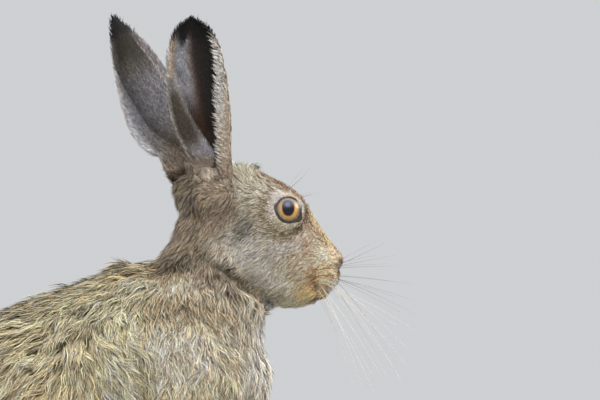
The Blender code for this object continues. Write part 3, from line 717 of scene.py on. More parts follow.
def buildBodySkin():
    source, sourceFaces, sourceLabels = fleshSource()
    tree = BVHTree.FromPolygons(source.tolist(), sourceFaces.tolist(), all_triangles=True)
    obj = meshFrom("skin", source, sourceFaces)
    remesh = obj.modifiers.new("grow together", "REMESH")
    remesh.mode = "VOXEL"
    remesh.voxel_size = skinPlan["voxel"] * 0.001
    smooth = obj.modifiers.new("soften", "SMOOTH")
    smooth.factor = 0.5
    smooth.iterations = skinPlan["smoothing"]
    applied(obj)
    points, faces = arraysOf(obj.data)
    print("skin grown together:", len(points), "points")
    labels = nearestLabels(points, tree, sourceLabels)
    points = shapedSkin(points, faces, labels)
    bpy.data.objects.remove(obj)
    obj = meshFrom("skin", points, faces)
    thin = obj.modifiers.new("thin", "DECIMATE")
    thin.ratio = min(1.0, skinPlan["triangles"] / len(faces))
    applied(obj)
    points, faces = arraysOf(obj.data)
    bpy.data.objects.remove(obj)
    labels = nearestLabels(points, tree, sourceLabels)
    print("skin shaped:", len(faces), "triangles")
    return points, faces, labels


# Along an ear, as (middle x, side y, z, radius of the cup, half angle in degrees).
ears = {
    "right": {
        "side": -1, "opens": (-0.05, -1.0, 0.08),
        "rows": [
            (56.0, -21.5, 303, 11.0, 168), (55.6, -22.5, 313, 11.2, 160), (54.4, -24.0, 324, 12.2, 140),
            (52.4, -25.5, 332, 14.0, 120), (49.6, -27.5, 344, 16.8, 100), (47.0, -29.5, 359, 18.6, 88),
            (45.2, -31.5, 377, 18.8, 80), (43.8, -33.0, 394, 17.2, 72), (42.4, -34.0, 406, 14.0, 60),
            (42.0, -34.5, 412, 10.0, 48), (41.8, -35.0, 416, 4.0, 32),
        ],
    },
    "left": {
        "side": 1, "opens": (0.12, 1.0, 0.05),
        "rows": [
            (43.5, 21.5, 300, 11.0, 168), (38.6, 22.5, 314, 11.0, 162), (34.6, 23.5, 324, 11.2, 152),
            (31.0, 24.8, 333, 12.0, 138), (22.6, 27.0, 343, 15.6, 112), (17.8, 28.6, 350.5, 17.2, 98),
            (13.6, 30.0, 361, 18.0, 86), (7.2, 31.5, 377, 17.0, 76), (-0.2, 32.5, 394, 13.8, 64),
            (-6.6, 33.0, 407.5, 8.8, 52), (-10.0, 33.4, 415, 5.0, 42), (-12.0, 33.8, 419.5, 2.0, 30),
        ],
    },
}
earPlan = {
    "curl": 0.42, "across": 28, "along": 7, "thickness": 1.25,
    # (share of the way up, share of half the width) that the folded rear margin takes
    "flap": [(0.0, 0.0), (0.05, 0.0), (0.14, 0.7), (0.2, 0.84), (0.28, 0.7), (0.36, 0.56),
             (0.44, 0.44), (0.62, 0.22), (0.78, 0.0), (1.0, 0.0)],
    # and the front margin, which rolls back over the cup
    "roll": [(0.0, 0.0), (0.05, 0.0), (0.17, 0.32), (0.27, 0.31), (0.43, 0.27), (0.53, 0.23),
             (0.62, 0.18), (0.75, 0.115), (0.84, 0.06), (0.9, 0.0), (1.0, 0.0)],
    "closedBelow": 0.11, "flapTurn": 12, "rollTurn": 166, "finer": 8,
    "island": 60, "unwrap": (34, 70, 118),      # half across, from outside to inside, along
}


def earLine(radius, angle, flap, roll, count):
    # the middle line of one section across an ear, rear to front, and its headings
    curl = earPlan["curl"] * (1 - min(1, angle / math.pi) ** 2)
    finer = earPlan["finer"]
    s = np.linspace(-1, 1, 2 * count * finer + 1)
    plain = angle * (s + curl * s * s / 2)
    heading = plain.copy()
    if flap > 0.005:
        bent = ease(-1 + flap + 0.05, -1 + flap - 0.05, s)
        heading = heading * (1 - bent) + bent * math.radians(earPlan["flapTurn"])
    if roll > 0.005:
        bent = ease(1 - roll - 0.06, 1 - roll + 0.06, s)
        heading = heading * (1 - bent) + bent * math.radians(earPlan["rollTurn"])
    lines = []
    for turn in (plain, heading):
        step = radius * angle * (s[1] - s[0])
        between = (turn[1:] + turn[:-1]) / 2
        for way in (np.cos(between), np.sin(between)):
            line = np.concatenate([[0], np.cumsum(way)]) * step
            lines.append(line - line[len(s) // 2])
    px, py, x, y = lines
    wide = px.max() - px.min()
    x = (x - x.min()) / (x.max() - x.min()) * wide
    x = x - wide / 2
    y = (y - y.min()) / max(y.max() - y.min(), 1e-6) * max(py.max() - py.min(), 1e-6) - py.max() / 2
    return x[::finer], y[::finer], heading[::finer], s[::finer]


def buildEarSkin(plan):
    # the skin of one ear: across from rear to front, along, and inside or outside
    rows = curveThrough(plan["rows"], earPlan["along"])
    opens = np.array(plan["opens"])
    count = earPlan["across"]
    ahead = unit(np.gradient(rows[:, :3], axis=0))
    upTheEar = np.concatenate([[0], np.cumsum(np.linalg.norm(np.diff(rows[:, :3], axis=0), axis=1))])
    upTheEar /= upTheEar[-1]
    flapAt = np.interp(upTheEar, *zip(*earPlan["flap"]))
    rollAt = np.interp(upTheEar, *zip(*earPlan["roll"]))
    closed = earPlan["closedBelow"]
    rings, across, along, inner = [], [], [], []
    for row, way, high, flap, roll in zip(rows, ahead, upTheEar, flapAt, rollAt):
        radius = row[3] - 1.2 * float(ease(closed, closed - 0.08, high))
        angle = math.radians(row[4] + 22 * float(ease(closed + 0.05, closed - 0.01, high)))
        opening = unit(opens - way * dot(opens, way))
        forward = np.cross(way, opening) * -plan["side"]
        x, y, turn, s = earLine(radius, angle, flap, roll, count)
        half = earPlan["thickness"] / 2 * min(1.0, 0.35 + radius / 16)
        line = np.stack([x, y], 1)
        inward = np.stack([-np.sin(turn), np.cos(turn)], 1) * half
        ends = [line[-1] + (math.cos(turn[-1]) * half, math.sin(turn[-1]) * half),
                line[0] - (math.cos(turn[0]) * half, math.sin(turn[0]) * half)]
        flat = np.vstack([line - inward, ends[:1], (line + inward)[::-1], ends[1:]])
        rings.append(row[:3] + flat[:, :1] * forward + flat[:, 1:] * opening)
        across.append(np.concatenate([s, [1], s[::-1], [-1]]))
        inner.append(np.concatenate([0 * s, [0.5], 0 * s + 1, [0.5]]))
        along.append(np.full(len(flat), high))
    rings = np.array(rings)
    many, size = rings.shape[:2]
    up = unit(np.gradient(rings, axis=0))
    sideways = unit(np.roll(rings, -1, 1) - np.roll(rings, 1, 1))
    sideways[:, size // 2:] *= -1                     # always towards the front margin
    last = (many - 1) * size
    k = np.arange(size // 2 - 1)
    cap = np.stack([last + k, last + k + 1, last + size - 3 - k, last + size - 2 - k], 1)
    quads = np.vstack([ringFaces(many, size), cap])
    if plan["side"] < 0:
        quads = quads[:, ::-1]
    return {
        "points": rings.reshape(-1, 3), "faces": halved(quads), "side": plan["side"],
        "up": up.reshape(-1, 3), "sideways": sideways.reshape(-1, 3),
        "across": np.concatenate(across), "along": np.concatenate(along),
        "inner": np.concatenate(inner),
    }


# Patches on the head as centre, radii, tilt down to the nose, colour and strength.
headPatches = [
    ((60, 0, 312), (50, 40, 18), 0, (158, 150, 126), 1.0),
    ((76, 0, 322), (22, 20, 9), 0, (176, 174, 150), 0.8),
    ((104, 0, 309), (15, 18, 9), 35, (158, 120, 82), 0.8),
    ((84, 24, 262), (34, 26, 26), 20, (182, 172, 157), 0.95),
    ((70, 24, 252), (22, 22, 12), 25, (212, 200, 178), 0.8),
    ((88, 26, 247), (23, 22, 12), 20, (255, 234, 198), 0.9),
    ((84, 24, 300), (16, 14, 14), 0, (178, 168, 146), 0.9),
    ((80, 26, 290), (9, 12, 12), -20, (128, 124, 112), 0.5),
    # painted shade between the ear and the eye
    ((75, 26, 281), (8, 12, 8), 0, (96, 98, 96), 0.7),
    ((54, 24, 297), (17, 20, 20), 0, (142, 124, 104), 0.95),
    ((56, 24, 312), (12, 18, 8), 0, (164, 150, 132), 0.8),
    ((38, 8, 292), (14, 34, 28), 0, (114, 97, 74), 0.9),
    ((124, 0, 282), (24, 11, 11), 46, (204, 170, 128), 0.95),
    ((133, 0, 268), (9, 10, 8), 46, (218, 176, 126), 0.8),
    ((112, 18, 262), (16, 18, 24), 10, (192, 168, 144), 0.9),
    ((122, 15, 262), (8, 14, 12), 30, (214, 188, 156), 0.75),
    ((104, 22, 246), (14, 18, 12), 10, (238, 202, 160), 0.85),
    ((103, 22, 268), (4, 16, 8), 10, (206, 198, 186), 0.6),
    ((113, 17, 272), (5, 14, 8), 20, (206, 190, 170), 0.6),
    ((118, 15, 268), (3.4, 14, 8), 10, (132, 108, 88), 0.6),
    ((108, 20, 254), (4, 16, 9), 0, (140, 116, 96), 0.45),
    ((132, 9, 261), (9, 11, 5.5), 0, (246, 220, 176), 0.95),
    ((130, 13, 249), (9, 12, 7), 10, (238, 196, 148), 0.95),
    ((121, 14, 250), (5, 12, 7), 10, (170, 136, 98), 0.65),
    ((129, 8, 238.5), (5, 10, 5), 0, (238, 188, 134), 0.9),
    ((136.5, 6, 241), (6, 9, 6.5), 10, (255, 248, 236), 0.95),
    ((117, 12, 238), (7, 12, 8), 10, (236, 180, 124), 0.9),
    ((112, 0, 229), (14, 15, 6), 0, (240, 210, 168), 0.95),
    ((90, 0, 234), (24, 18, 8), 15, (232, 208, 172), 0.85),
    ((140, 0, 258.5), (4.5, 5, 5), 0, (214, 180, 156), 0.85),
    ((140.2, 4.2, 257.3), (1.9, 2.0, 2.2), 30, (62, 42, 38), 0.95),
]
# Strokes on the head, as a line of (x, z), width, the least y, colour and strength.
headStrokes = [
    ([(86, 313), (98, 311), (106, 305), (111, 297)], 1.4, 0, (110, 72, 42), 0.7),
    ([(108.5, 300), (112.5, 290), (117, 282), (121, 277)], 1.2, 7, (140, 104, 76), 0.45),
    ([(111.5, 284), (113.5, 279), (114, 273)], 1.2, 8, (128, 92, 74), 0.5),
    # painted shade in the gap under the crown tuft
    ([(78, 317), (88, 314.3)], 0.9, 0, (72, 72, 54), 0.75),
    ([(79, 296), (82, 282), (92, 275), (104, 274)], 2.6, 12, (122, 112, 84), 0.6),
    ([(121, 253), (128, 253.5), (136, 255)], 0.5, 4, (92, 62, 38), 0.6),
    ([(119, 249.5), (126, 249), (134, 248.5)], 0.6, 4, (88, 58, 36), 0.65),
    ([(119, 246), (126, 244), (132, 242)], 0.6, 4, (96, 66, 42), 0.5),
    ([(125.5, 228), (124.4, 234.5), (122.6, 240), (120.5, 243.5)], 1.1, 0, (50, 38, 34), 0.9),
    ([(120, 249), (123.5, 246.5)], 1.3, 4, (120, 88, 56), 0.6),
    ([(134, 261.3), (137.6, 262.8)], 0.7, 2, (150, 108, 84), 0.7),
    ([(138.4, 258.6), (139.6, 256.2)], 0.9, 1.5, (104, 66, 54), 0.9),
    # painted shade in the crease behind the cheek
    ([(42, 277), (46, 267), (56, 258), (69, 250), (81, 243), (92, 237)], 4.0, 12, (70, 60, 40), 0.95),
    ([(64, 312), (68, 298), (72, 286), (74, 276)], 2.6, 12, (92, 82, 62), 0.6),
]
bodyTones = {
    "head": (150, 138, 112), "neck": (178, 158, 134), "torso": (180, 165, 126),
    "tail": (228, 222, 212), "thigh": (170, 142, 108), "foreleg": (188, 150, 110),
    "forepaw": (192, 158, 120), "hindfoot": (196, 168, 132),
}
# Patches on the body as centre, radii, colour and strength.
bodyPatches = [
    ((78, 0, 200), (34, 46, 52), (226, 202, 174), 0.75),
    # the pale front of the chest: its own pale tone, brightened further as painted light
    ((92, 0, 210), (16, 30, 40), (255, 232, 200), 0.85),
    ((36, 44, 232), (38, 26, 14), (144, 126, 96), 0.85),
    ((34, 46, 202), (34, 24, 26), (206, 187, 158), 0.85),
    ((-6, 44, 210), (20, 26, 34), (202, 186, 142), 0.7),
    ((4, 20, 262), (36, 44, 20), (168, 146, 98), 0.75),
    ((26, 14, 284), (24, 30, 24), (138, 118, 94), 0.85),
    ((-90, 0, 232), (90, 40, 26), (150, 138, 102), 0.8),
    ((-190, 0, 170), (60, 60, 44), (148, 140, 118), 0.7),
    ((-60, 60, 150), (80, 30, 36), (184, 150, 112), 0.6),
    ((30, 0, 140), (70, 26, 22), (222, 206, 184), 0.8),
    ((-70, 0, 96), (90, 30, 40), (228, 218, 202), 0.85),
    ((-205, 0, 30), (30, 26, 22), (222, 214, 200), 0.7),
    ((56, 34, 146), (32, 24, 30), (190, 158, 120), 0.7),
]
# Strokes on the neck, shoulder and chest: painted shade above the ruff, a painted highlight along its edge and
# painted shade under it, a pale streak and painted shade where the shoulder meets the flank, and the pale chest
# front, partly painted light.
bodyStrokes = [
    # painted shade above the ruff
    ([(4, 257), (28, 261), (44, 262), (56, 254), (69, 246), (81, 240), (92, 234)], 7.5, 14, (56, 46, 28), 0.95),
    # painted highlight along the edge of the ruff
    ([(4, 241), (28, 245), (47, 244), (64, 240), (77, 233), (86, 225)], 3.2, 22, (204, 188, 158), 0.7),
    # painted shade under the overhanging ruff
    ([(14, 232), (34, 236), (56, 233), (72, 226)], 2.2, 22, (112, 98, 70), 0.4),
    ([(-14, 214), (-10, 190), (-18, 166)], 6.0, 30, (206, 190, 146), 0.6),
    # painted shade where the shoulder meets the flank
    ([(-2, 200), (2, 180), (-6, 158)], 4.0, 30, (122, 102, 70), 0.5),
    # the pale front of the chest: its own pale tone, brightened further as painted light
    ([(86, 220), (90, 195), (89, 172)], 10.0, 4, (255, 230, 192), 0.95),
]


def painted(colour, weight, tone):
    return colour + (np.array(tone, float) - colour) * np.clip(weight, 0, 1)[:, None]


def layered(colour, layers):
    # one tone over another, each with its weight at every point
    for weight, tone in layers:
        colour = painted(colour, weight, tone)
    return colour


def bodyMarkings(points, normals, weights):
    # the colours of the coat over the head and body, as plain 0 to 255 tones
    colour = weights @ np.array([bodyTones[n] for n in partNames[:-1]], float)
    share = dict(zip(partNames, weights.T))
    trunk = share["torso"] + share["neck"]
    p = points.copy()
    p[:, 1] = np.abs(p[:, 1])
    for centre, radii, tone, strength in bodyPatches:
        far = np.linalg.norm((p - centre) / radii, axis=1)
        weight = ease(1.15, 0.55, far) * strength * (1 - share["head"]) * (1 - share["tail"])
        colour = painted(colour, weight, tone)
    for line, width, least, tone, strength in bodyStrokes:
        far = lineDistance(points[:, 0], points[:, 2], line) + 1.6 * wander(points, 16, 9)
        weight = bell(far, width) * strength * trunk * ease(least - 8, least, p[:, 1])
        colour = painted(colour, weight, tone)
    mottle = 1 + 0.07 * wander(points, 26, 3) + 0.06 * wander(points, 9, 4)
    spine = ease(20, 4, p[:, 1]) * ease(0.2, 0.8, normals[:, 2]) * trunk * ease(20, -10, points[:, 0])
    under = ease(-0.3, -0.8, normals[:, 2]) * trunk
    tailTop = ease(0.0, 0.45, dot(normals, unit(np.array([-0.6, 0, 0.8])))) * ease(17, 9, p[:, 1])
    sole = ease(-0.4, -0.8, normals[:, 2]) * (share["hindfoot"] + share["forepaw"])
    inward = ease(0.2, 0.8, -normals[:, 1] * np.sign(points[:, 1]))
    colour = layered(colour * mottle[:, None], [
        (spine * 0.35, (112, 96, 68)),
        (under * 0.8, (230, 220, 204)),
        (tailTop * share["tail"], (44, 37, 31)),
        (sole * 0.8, (138, 112, 82)),
        (inward * (share["foreleg"] + share["hindfoot"]) * 0.6, (222, 206, 184))])

    h = headPlaces(points)
    head = colour.copy()
    for centre, radii, tilt, tone, strength in headPatches:
        far = np.sqrt(eggReach(h, centre, radii, tilt))
        head = painted(head, ease(1.2, 0.6, far) * strength, tone)
    for line, width, least, tone, strength in headStrokes:
        far = lineDistance(h[:, 0], h[:, 2], line)
        head = painted(head, bell(far, width) * strength * ease(least - 3, least + 1, h[:, 1]), tone)
    for side, _ in bothSides:        # the pale ring round each eye, and its shade below
        away, turn, height = eyePolar(points, side)
        near = height > -2
        reach = (11.9 + 1.7 * np.cos(turn - math.radians(205)) + 3.4 * bell(turnedFrom(turn, 112), 0.6)
                 + 0.6 * bell(turnedFrom(turn, 10), 0.6))
        ring = ease(reach + 0.7, reach - 0.7, away) * near * 0.95
        streak = bell(away - 10.4, 1.0) * bell(turnedFrom(turn, 78), 0.5)
        shade = bell(away - reach - 1.8, 1.7) * ease(-0.2, 0.5, np.cos(turn - math.radians(232)))
        head = layered(head, [
            (ring, (226, 215, 202)),
            (ring * ease(0.2, 0.9, -np.cos(turn)), (196, 182, 172)),
            (ring * ease(0.1, 0.8, -np.sin(turn)), (188, 178, 150)),
            (streak * near * 0.7, (206, 156, 108)),
            (shade * near * 0.8, (116, 101, 70))])
    return colour + (head - colour) * share["head"][:, None]


def earMarkings(ear):
    # dark tip, pale rims, and a cup of dark skin deepened by painted shade, with painted light on its rear wall
    s, v, inner = ear["across"], ear["along"], ear["inner"]
    flap = np.interp(v, *zip(*earPlan["flap"]))
    edge = np.abs(s)
    foot = ease(0.21, 0.12, v)
    if ear["side"] > 0:      # the far ear shows the ridge of its front roll and a pale rear edge
        own = [
            (ease(0.5, 0.62, s) * ease(0.95, 0.8, v) * 0.8, (112, 108, 112)),
            (bell(s - 0.5, 0.03) * ease(0.3, 0.4, v) * ease(0.92, 0.82, v) * 0.7, (168, 163, 162)),
            (ease(-0.76, -0.94, s) * bell(v - 0.36, 0.15), (178, 182, 192))]
    else:
        own = [
            (ease(0.42, 0.75, s) * ease(0.95, 0.8, v) * 0.9, (184, 169, 147)),
            (ease(0.80, 0.90, s) * ease(0.30, 0.5, v) * ease(0.92, 0.78, v), (192, 186, 180)),
            (ease(0.30, 0.12, v) * ease(0.1, 0.5, s) * 0.8, (178, 162, 144))]
    outer = layered(np.tile(np.array([100, 95, 90.0]), (len(s), 1)), [
        (bell(v - 0.52, 0.24), (102, 101, 106)),
        (ease(0.42, 0.16, v), (120, 108, 92)),
        (ease(0.60, 0.84, v) * ease(0.95, 0.5, edge), (44, 39, 30)),
        *own,
        (foot * 0.85, (152, 134, 113)),
        (ease(0.92, 1.0, edge) * ease(0.93, 0.75, v) * 0.85 * (1 - foot), (196, 190, 184)),
        (ease(0.86, 0.93, v), (16, 13, 11))])
    # inside, rear to front
    lit = ease(-0.10, -0.42, s) * ease(0.40, 0.62, v)
    band = ease(-1 + flap + 0.05, -1 + flap - 0.02, s) * ease(0.66, 0.55, v)
    crease = bell(s + 1 - flap, 0.04) * ease(0.70, 0.6, v) * ease(0.22, 0.32, v)
    tan = ease(-0.78, -0.94, s) * bell(v - 0.80, 0.13)
    # the cup's base tone is its own dark skin and painted shade in the hollow
    cup = layered(np.tile(np.array([27, 23, 20.0]), (len(s), 1)), [
        (bell(s + 0.30, 0.2) * ease(0.16, 0.4, v), (62, 42, 31)),
        # painted light on the rear wall of the cup
        (lit * (0.92 + 0.16 * wander(ear["points"], 8, 12)), (142, 143, 148)),
        (band, (78, 70, 61)),
        (band * ease(0.34, 0.22, v) * ease(-0.98, -0.84, s), (154, 149, 151)),
        (band * bell(s + 1.06 - flap, 0.13) * ease(0.40, 0.26, v), (160, 160, 172)),
        (crease * 0.5, (160, 154, 150)),
        (tan * 0.8, (190, 152, 108)),
        (ease(-0.93, -1.0, s) * ease(0.9, 0.75, v) * 0.85, (206, 200, 194)),
        (ease(0.90, 1.0, s) * ease(0.93, 0.8, v) * 0.8, (172, 166, 160)),
        (ease(0.24, 0.14, v) * ease(0.1, -0.1, s), (140, 124, 106)),
        (ease(0.85, 0.92, v + 0.025 * np.sin(s * 9)), (10, 8, 7))])
    return outer + (cup - outer) * inner[:, None]


# Guides as part, place, the way the fur lies, its length and how far its roots stand up in
# degrees. Those of the head are in its own straight frame. All count for both sides.
guides = [
    ("head", (140, 3, 262), (-0.6, 0.1, 0.8), 2.0, 26), ("head", (125, 4, 285), (-0.6, 0.05, 0.8), 3.6, 24),
    ("head", (113, 6, 300), (-0.75, 0.05, 0.65), 4.2, 26), ("head", (100, 6, 311), (-0.93, 0.05, 0.3), 6.0, 32),
    ("head", (91, 6, 314.5), (-0.9, 0.05, 0.4), 5.0, 30), ("head", (83, 5, 318), (0.5, 0, 0.85), 8.5, 62),
    ("head", (73, 5, 320.5), (0.3, 0, 0.95), 8.5, 70), ("head", (64, 8, 321), (-1, 0.05, 0.0), 7.0, 30),
    ("head", (50, 8, 315), (-0.85, 0.1, -0.5), 9.0, 30), ("head", (130, 13, 250), (-0.85, 0.3, -0.4), 3.6, 26),
    ("head", (134, 8, 241), (-0.6, 0.25, -0.75), 4.2, 30), ("head", (120, 14, 262), (-0.92, 0.2, -0.25), 4.6, 26),
    ("head", (110, 19, 270), (-0.85, 0.15, -0.5), 5.6, 28), ("head", (104, 23, 258), (-0.8, 0.1, -0.6), 7.5, 30),
    ("head", (116, 17, 282), (-0.8, 0.2, -0.55), 4.0, 24), ("head", (113, 15, 299), (-0.8, 0.2, 0.55), 3.4, 24),
    ("head", (102, 19, 306), (-0.95, 0.1, 0.15), 4.0, 26), ("head", (87, 25, 293), (-0.98, 0.1, -0.1), 5.5, 28),
    ("head", (100, 24, 274), (-0.9, 0.1, -0.4), 6.0, 26), ("head", (84, 27, 272), (-0.9, 0.1, -0.42), 8.5, 32),
    ("head", (76, 27, 260), (-0.8, 0.1, -0.6), 8.5, 34), ("head", (62, 26, 266), (-0.72, 0.1, -0.7), 8.5, 36),
    ("head", (64, 26, 254), (-0.75, 0.1, -0.65), 5.5, 26), ("head", (80, 24, 246), (-0.75, 0.1, -0.65), 5.5, 26),
    ("head", (72, 25, 288), (-0.7, 0.1, -0.6), 7.0, 28), ("head", (94, 22, 244), (-0.75, 0.1, -0.66), 8, 32),
    ("head", (108, 16, 240), (-0.7, 0.1, -0.7), 8.0, 30), ("head", (122, 4, 231), (-0.95, 0, -0.3), 5.5, 26),
    ("head", (100, 6, 230), (-0.85, 0, -0.5), 10, 30), ("head", (80, 8, 240), (-0.75, 0, -0.65), 14, 30),
    ("head", (57, 24, 296), (-0.25, 0.1, -0.5), 7.0, 24), ("head", (56, 24, 312), (-0.1, 0.1, 1.0), 5.0, 20),
    ("head", (40, 10, 300), (-0.5, 0, -0.85), 9.0, 26), ("head", (42, 26, 280), (-0.5, 0.1, -0.85), 10, 26),
    ("neck", (32, 10, 290), (-0.5, 0, -0.85), 13, 26), ("neck", (45, 32, 262), (-0.35, 0.1, -0.9), 16, 30),
    ("neck", (12, 16, 262), (-0.9, 0.1, -0.35), 19, 34), ("neck", (70, 26, 240), (0.2, 0.1, -0.95), 19, 34),
    ("neck", (88, 12, 226), (0.45, 0, -0.9), 16, 28), ("neck", (30, 36, 258), (-0.3, 0.1, -0.95), 9, 18),
    ("neck", (56, 36, 252), (0.0, 0.1, -1), 9, 18), ("neck", (28, 40, 247), (-0.15, 0.35, -0.9), 16, 58),
    ("neck", (47, 38, 246), (0.1, 0.35, -0.9), 16, 58), ("neck", (66, 34, 237), (0.3, 0.3, -0.9), 17, 52),
    ("neck", (82, 24, 226), (0.4, 0.2, -0.9), 17, 42), ("torso", (10, 38, 244), (-0.2, 0.35, -0.9), 17, 56),
    ("neck", (84, 24, 208), (0.4, 0.1, -0.9), 18, 26),
    ("torso", (4, 6, 262), (-1, 0, -0.1), 18, 20), ("torso", (-10, 5, 258), (-1, 0, -0.25), 16, 15),
    ("torso", (92, 10, 198), (0.1, 0, -1), 16, 18),
    ("torso", (70, 34, 205), (0.3, 0.1, -0.95), 17, 26), ("torso", (40, 46, 222), (0.05, 0.1, -1), 15, 28),
    ("torso", (36, 48, 190), (0.0, 0.05, -1), 14, 24), ("torso", (8, 46, 222), (0.1, 0.1, -1), 17, 32),
    ("torso", (-8, 48, 200), (0.6, 0.1, -0.75), 20, 40), ("torso", (-30, 46, 222), (-0.3, 0.1, -0.85), 19, 34),
    ("torso", (-14, 50, 170), (0.5, 0.05, -0.85), 20, 36), ("torso", (60, 42, 160), (0.1, 0, -1), 14, 22),
    ("torso", (50, 36, 138), (0.0, 0.0, -1), 10, 18),
    ("torso", (91, 8, 187), (-0.1, 0, -1), 14, 14), ("torso", (86, 8, 170), (-0.5, 0, -0.85), 11, 12),
    ("torso", (74, 10, 154), (-0.8, 0, -0.55), 10, 12), ("torso", (-60, 10, 243), (-1, 0.05, -0.3), 20, 24),
    ("torso", (-60, 52, 180), (-0.75, 0.1, -0.65), 22, 28), ("torso", (-120, 30, 215), (-0.9, 0.1, -0.5), 22, 28),
    ("torso", (-170, 15, 185), (-0.75, 0, -0.65), 22, 28), ("torso", (-225, 10, 110), (-0.35, 0, -0.95), 22, 26),
    ("torso", (-110, 60, 140), (-0.75, 0.1, -0.6), 21, 26), ("torso", (0, 10, 135), (-0.9, 0, -0.3), 20, 22),
    ("torso", (-90, 20, 80), (-0.9, 0, -0.4), 20, 22), ("torso", (-190, 20, 30), (-0.9, 0, -0.2), 16, 20),
    ("thigh", (-150, 66, 92), (-0.6, 0, -0.8), 18, 24), ("thigh", (-90, 62, 80), (-0.3, 0, -0.95), 16, 24),
    ("thigh", (-200, 55, 90), (-0.6, 0, -0.8), 18, 24), ("thigh", (-150, 60, 30), (-0.5, 0, -0.7), 13, 20),
    ("foreleg", (55, 35, 100), (0.05, 0.05, -1), 8, 20), ("foreleg", (56, 10, 100), (0.0, 0, -1), 8, 20),
    ("foreleg", (35, 24, 100), (-0.2, 0, -1), 9, 22), ("foreleg", (60, 30, 50), (0.1, 0, -1), 6.5, 18),
    ("forepaw", (66, 30, 24), (0.5, 0, -0.8), 5.0, 18), ("forepaw", (92, 24, 14), (1, 0, -0.35), 4.6, 16),
    ("hindfoot", (-150, 51, 18), (1, 0, -0.12), 6.5, 18), ("hindfoot", (-215, 47, 20), (-0.1, 0, -1), 6.5, 18),
    ("hindfoot", (-75, 55, 14), (1, 0, -0.3), 5.5, 18),
    ("tail", (-235, 0, 50), (-0.75, 0, -0.65), 24, 26), ("tail", (-262, 0, 20), (-0.85, 0, -0.5), 22, 22),
    ("tail", (-230, 18, 30), (-0.7, 0.2, -0.6), 24, 24),
]
# Blades for each square millimetre, width, agouti and size of a lock, for each part.
coatPlan = {
    "head": (3.5, 0.42, 1.0, 1.4), "neck": (2.5, 0.54, 0.95, 2.4), "torso": (1.2, 0.74, 0.9, 2.6),
    "tail": (0.85, 0.9, 0.3, 4.0), "thigh": (0.85, 0.80, 0.8, 3.0), "foreleg": (0.95, 0.66, 0.5, 2.2),
    "forepaw": (1.05, 0.56, 0.45, 2.0), "hindfoot": (0.95, 0.62, 0.45, 2.2), "ear": (2.5, 0.43, 1.1, 1.2),
}
# Brightness of the coat, ears and skin, and how dark or pale the tips of the agouti hairs are.
coatShade = {"gain": 1.9, "earGain": 1.58, "skinGain": 0.95, "dark": 0.72, "pale": 0.45}


def coatFields(points, normals, weights, edges):
    # the way, length and lift of the fur at each point of the body's skin
    straight = turnHead(points, -1)
    mirror = np.sign(points[:, 1])
    mirror[mirror == 0] = 1
    mirrorHead = np.where(straight[:, 1] >= 0, 1, -1)
    total = np.zeros(len(points))
    sums = np.zeros((len(points), 5))
    for part, place, way, length, lift in guides:
        onHead = part == "head"
        here = straight if onHead else points
        side = mirrorHead if onHead else mirror
        place = np.array(place, float)
        away = here - place
        away[:, 1] = np.abs(here[:, 1]) - place[1]
        other = 1 - weights[:, partNames.index(part)]
        weight = 1 / ((away**2).sum(1) * (1 + 14 * other) + 30 + 900 * other) ** 2
        way = unit(np.array(way, float))
        vector = np.tile(way, (len(points), 1))
        vector[:, 1] *= side
        if onHead:
            vector = turnHead(vector, vector=True)
        sums[:, :3] += vector * weight[:, None]
        sums[:, 3] += length * weight
        sums[:, 4] += lift * weight
        total += weight
    sums /= total[:, None]
    flow = alongSkin(softened(alongSkin(sums[:, :3], normals), edges, 6), normals)
    # cowlicks: the lie strays a little, in wide sweeps on the body and small ones on the head
    share = dict(zip(partNames, weights.T))
    onTrunk = share["neck"] + share["torso"] + share["thigh"]
    stray = (0.34 * wander(points, 34, 5) + 0.22 * wander(points, 13, 6)) * onTrunk
    small = 0.20 * wander(points, 12, 7) + 0.16 * wander(points, 5, 8)
    stray += small * share["head"] * ease(122, 100, straight[:, 0])
    flow = flow * np.cos(stray)[:, None] + np.cross(normals, flow) * np.sin(stray)[:, None]
    return flow, sums[:, 3], np.radians(sums[:, 4])


def bareness(points, weights):
    # 1 where fur grows, 0 on the lids, in the nostrils and in the mouth; and a shortening
    h = headPlaces(points)
    x, y, z = h.T
    shorter = np.ones(len(points))
    mouth = np.minimum(1, 1.3 * bell(lineDistance(x, z, skinPlan["mouth"]), 1.3))
    grows = 1 - mouth * weights[:, 0]
    grows *= 1 - 1.1 * pit(h, skinPlan["nostril"][0], (2.1, 1.7, 1.7))
    grows *= 1 - ease(139.6, 141, x) * ease(5.5, 3.5, y) * ease(254, 256, z) * 0.8      # the nose
    for side, _ in bothSides:
        away, turn, height = eyePolar(points, side)
        near = height > -1
        edge = eyes["lidOuter"] + cornerStretch(turn)
        grows = np.where(near & (away < edge + 1.0), 0, grows)
        shorter = np.where(near, shorter * (0.30 + 0.70 * ease(edge + 4, edge + 10, away)), shorter)
    return np.clip(grows, 0, 1), shorter


def aroundEyes(points, flow, normals):
    # turns the fur away from the lids, so that it parts round each eye
    for side, _ in bothSides:
        _, _, nose, up = eyeFrame(side)
        away, turn, height = eyePolar(points, side)
        outward = unit((np.cos(turn)[:, None] * nose + np.sin(turn)[:, None] * up))
        share = ease(15, 9.5, away) * (height > -1) * 0.75
        inwards = np.clip(-dot(flow, outward), 0, 1)
        flow = flow + outward * (share * (0.35 + inwards))[:, None]
    return alongSkin(flow, normals)


def shelfPacked(sizes):
    # places for rectangles, tallest first, and the side of the square that holds them
    width = math.sqrt(sum(w * h for w, h in sizes)) * 1.12
    places, x, y, shelf = [None] * len(sizes), 0, 0, 0
    for i in sorted(range(len(sizes)), key=lambda i: -sizes[i][1]):
        w, h = sizes[i]
        if x + w > width:
            x, y, shelf = 0, y + shelf, 0
        places[i] = (x, y)
        x, shelf = x + w, max(shelf, h)
    return places, max(width, y + shelf, max(w for w, h in sizes))


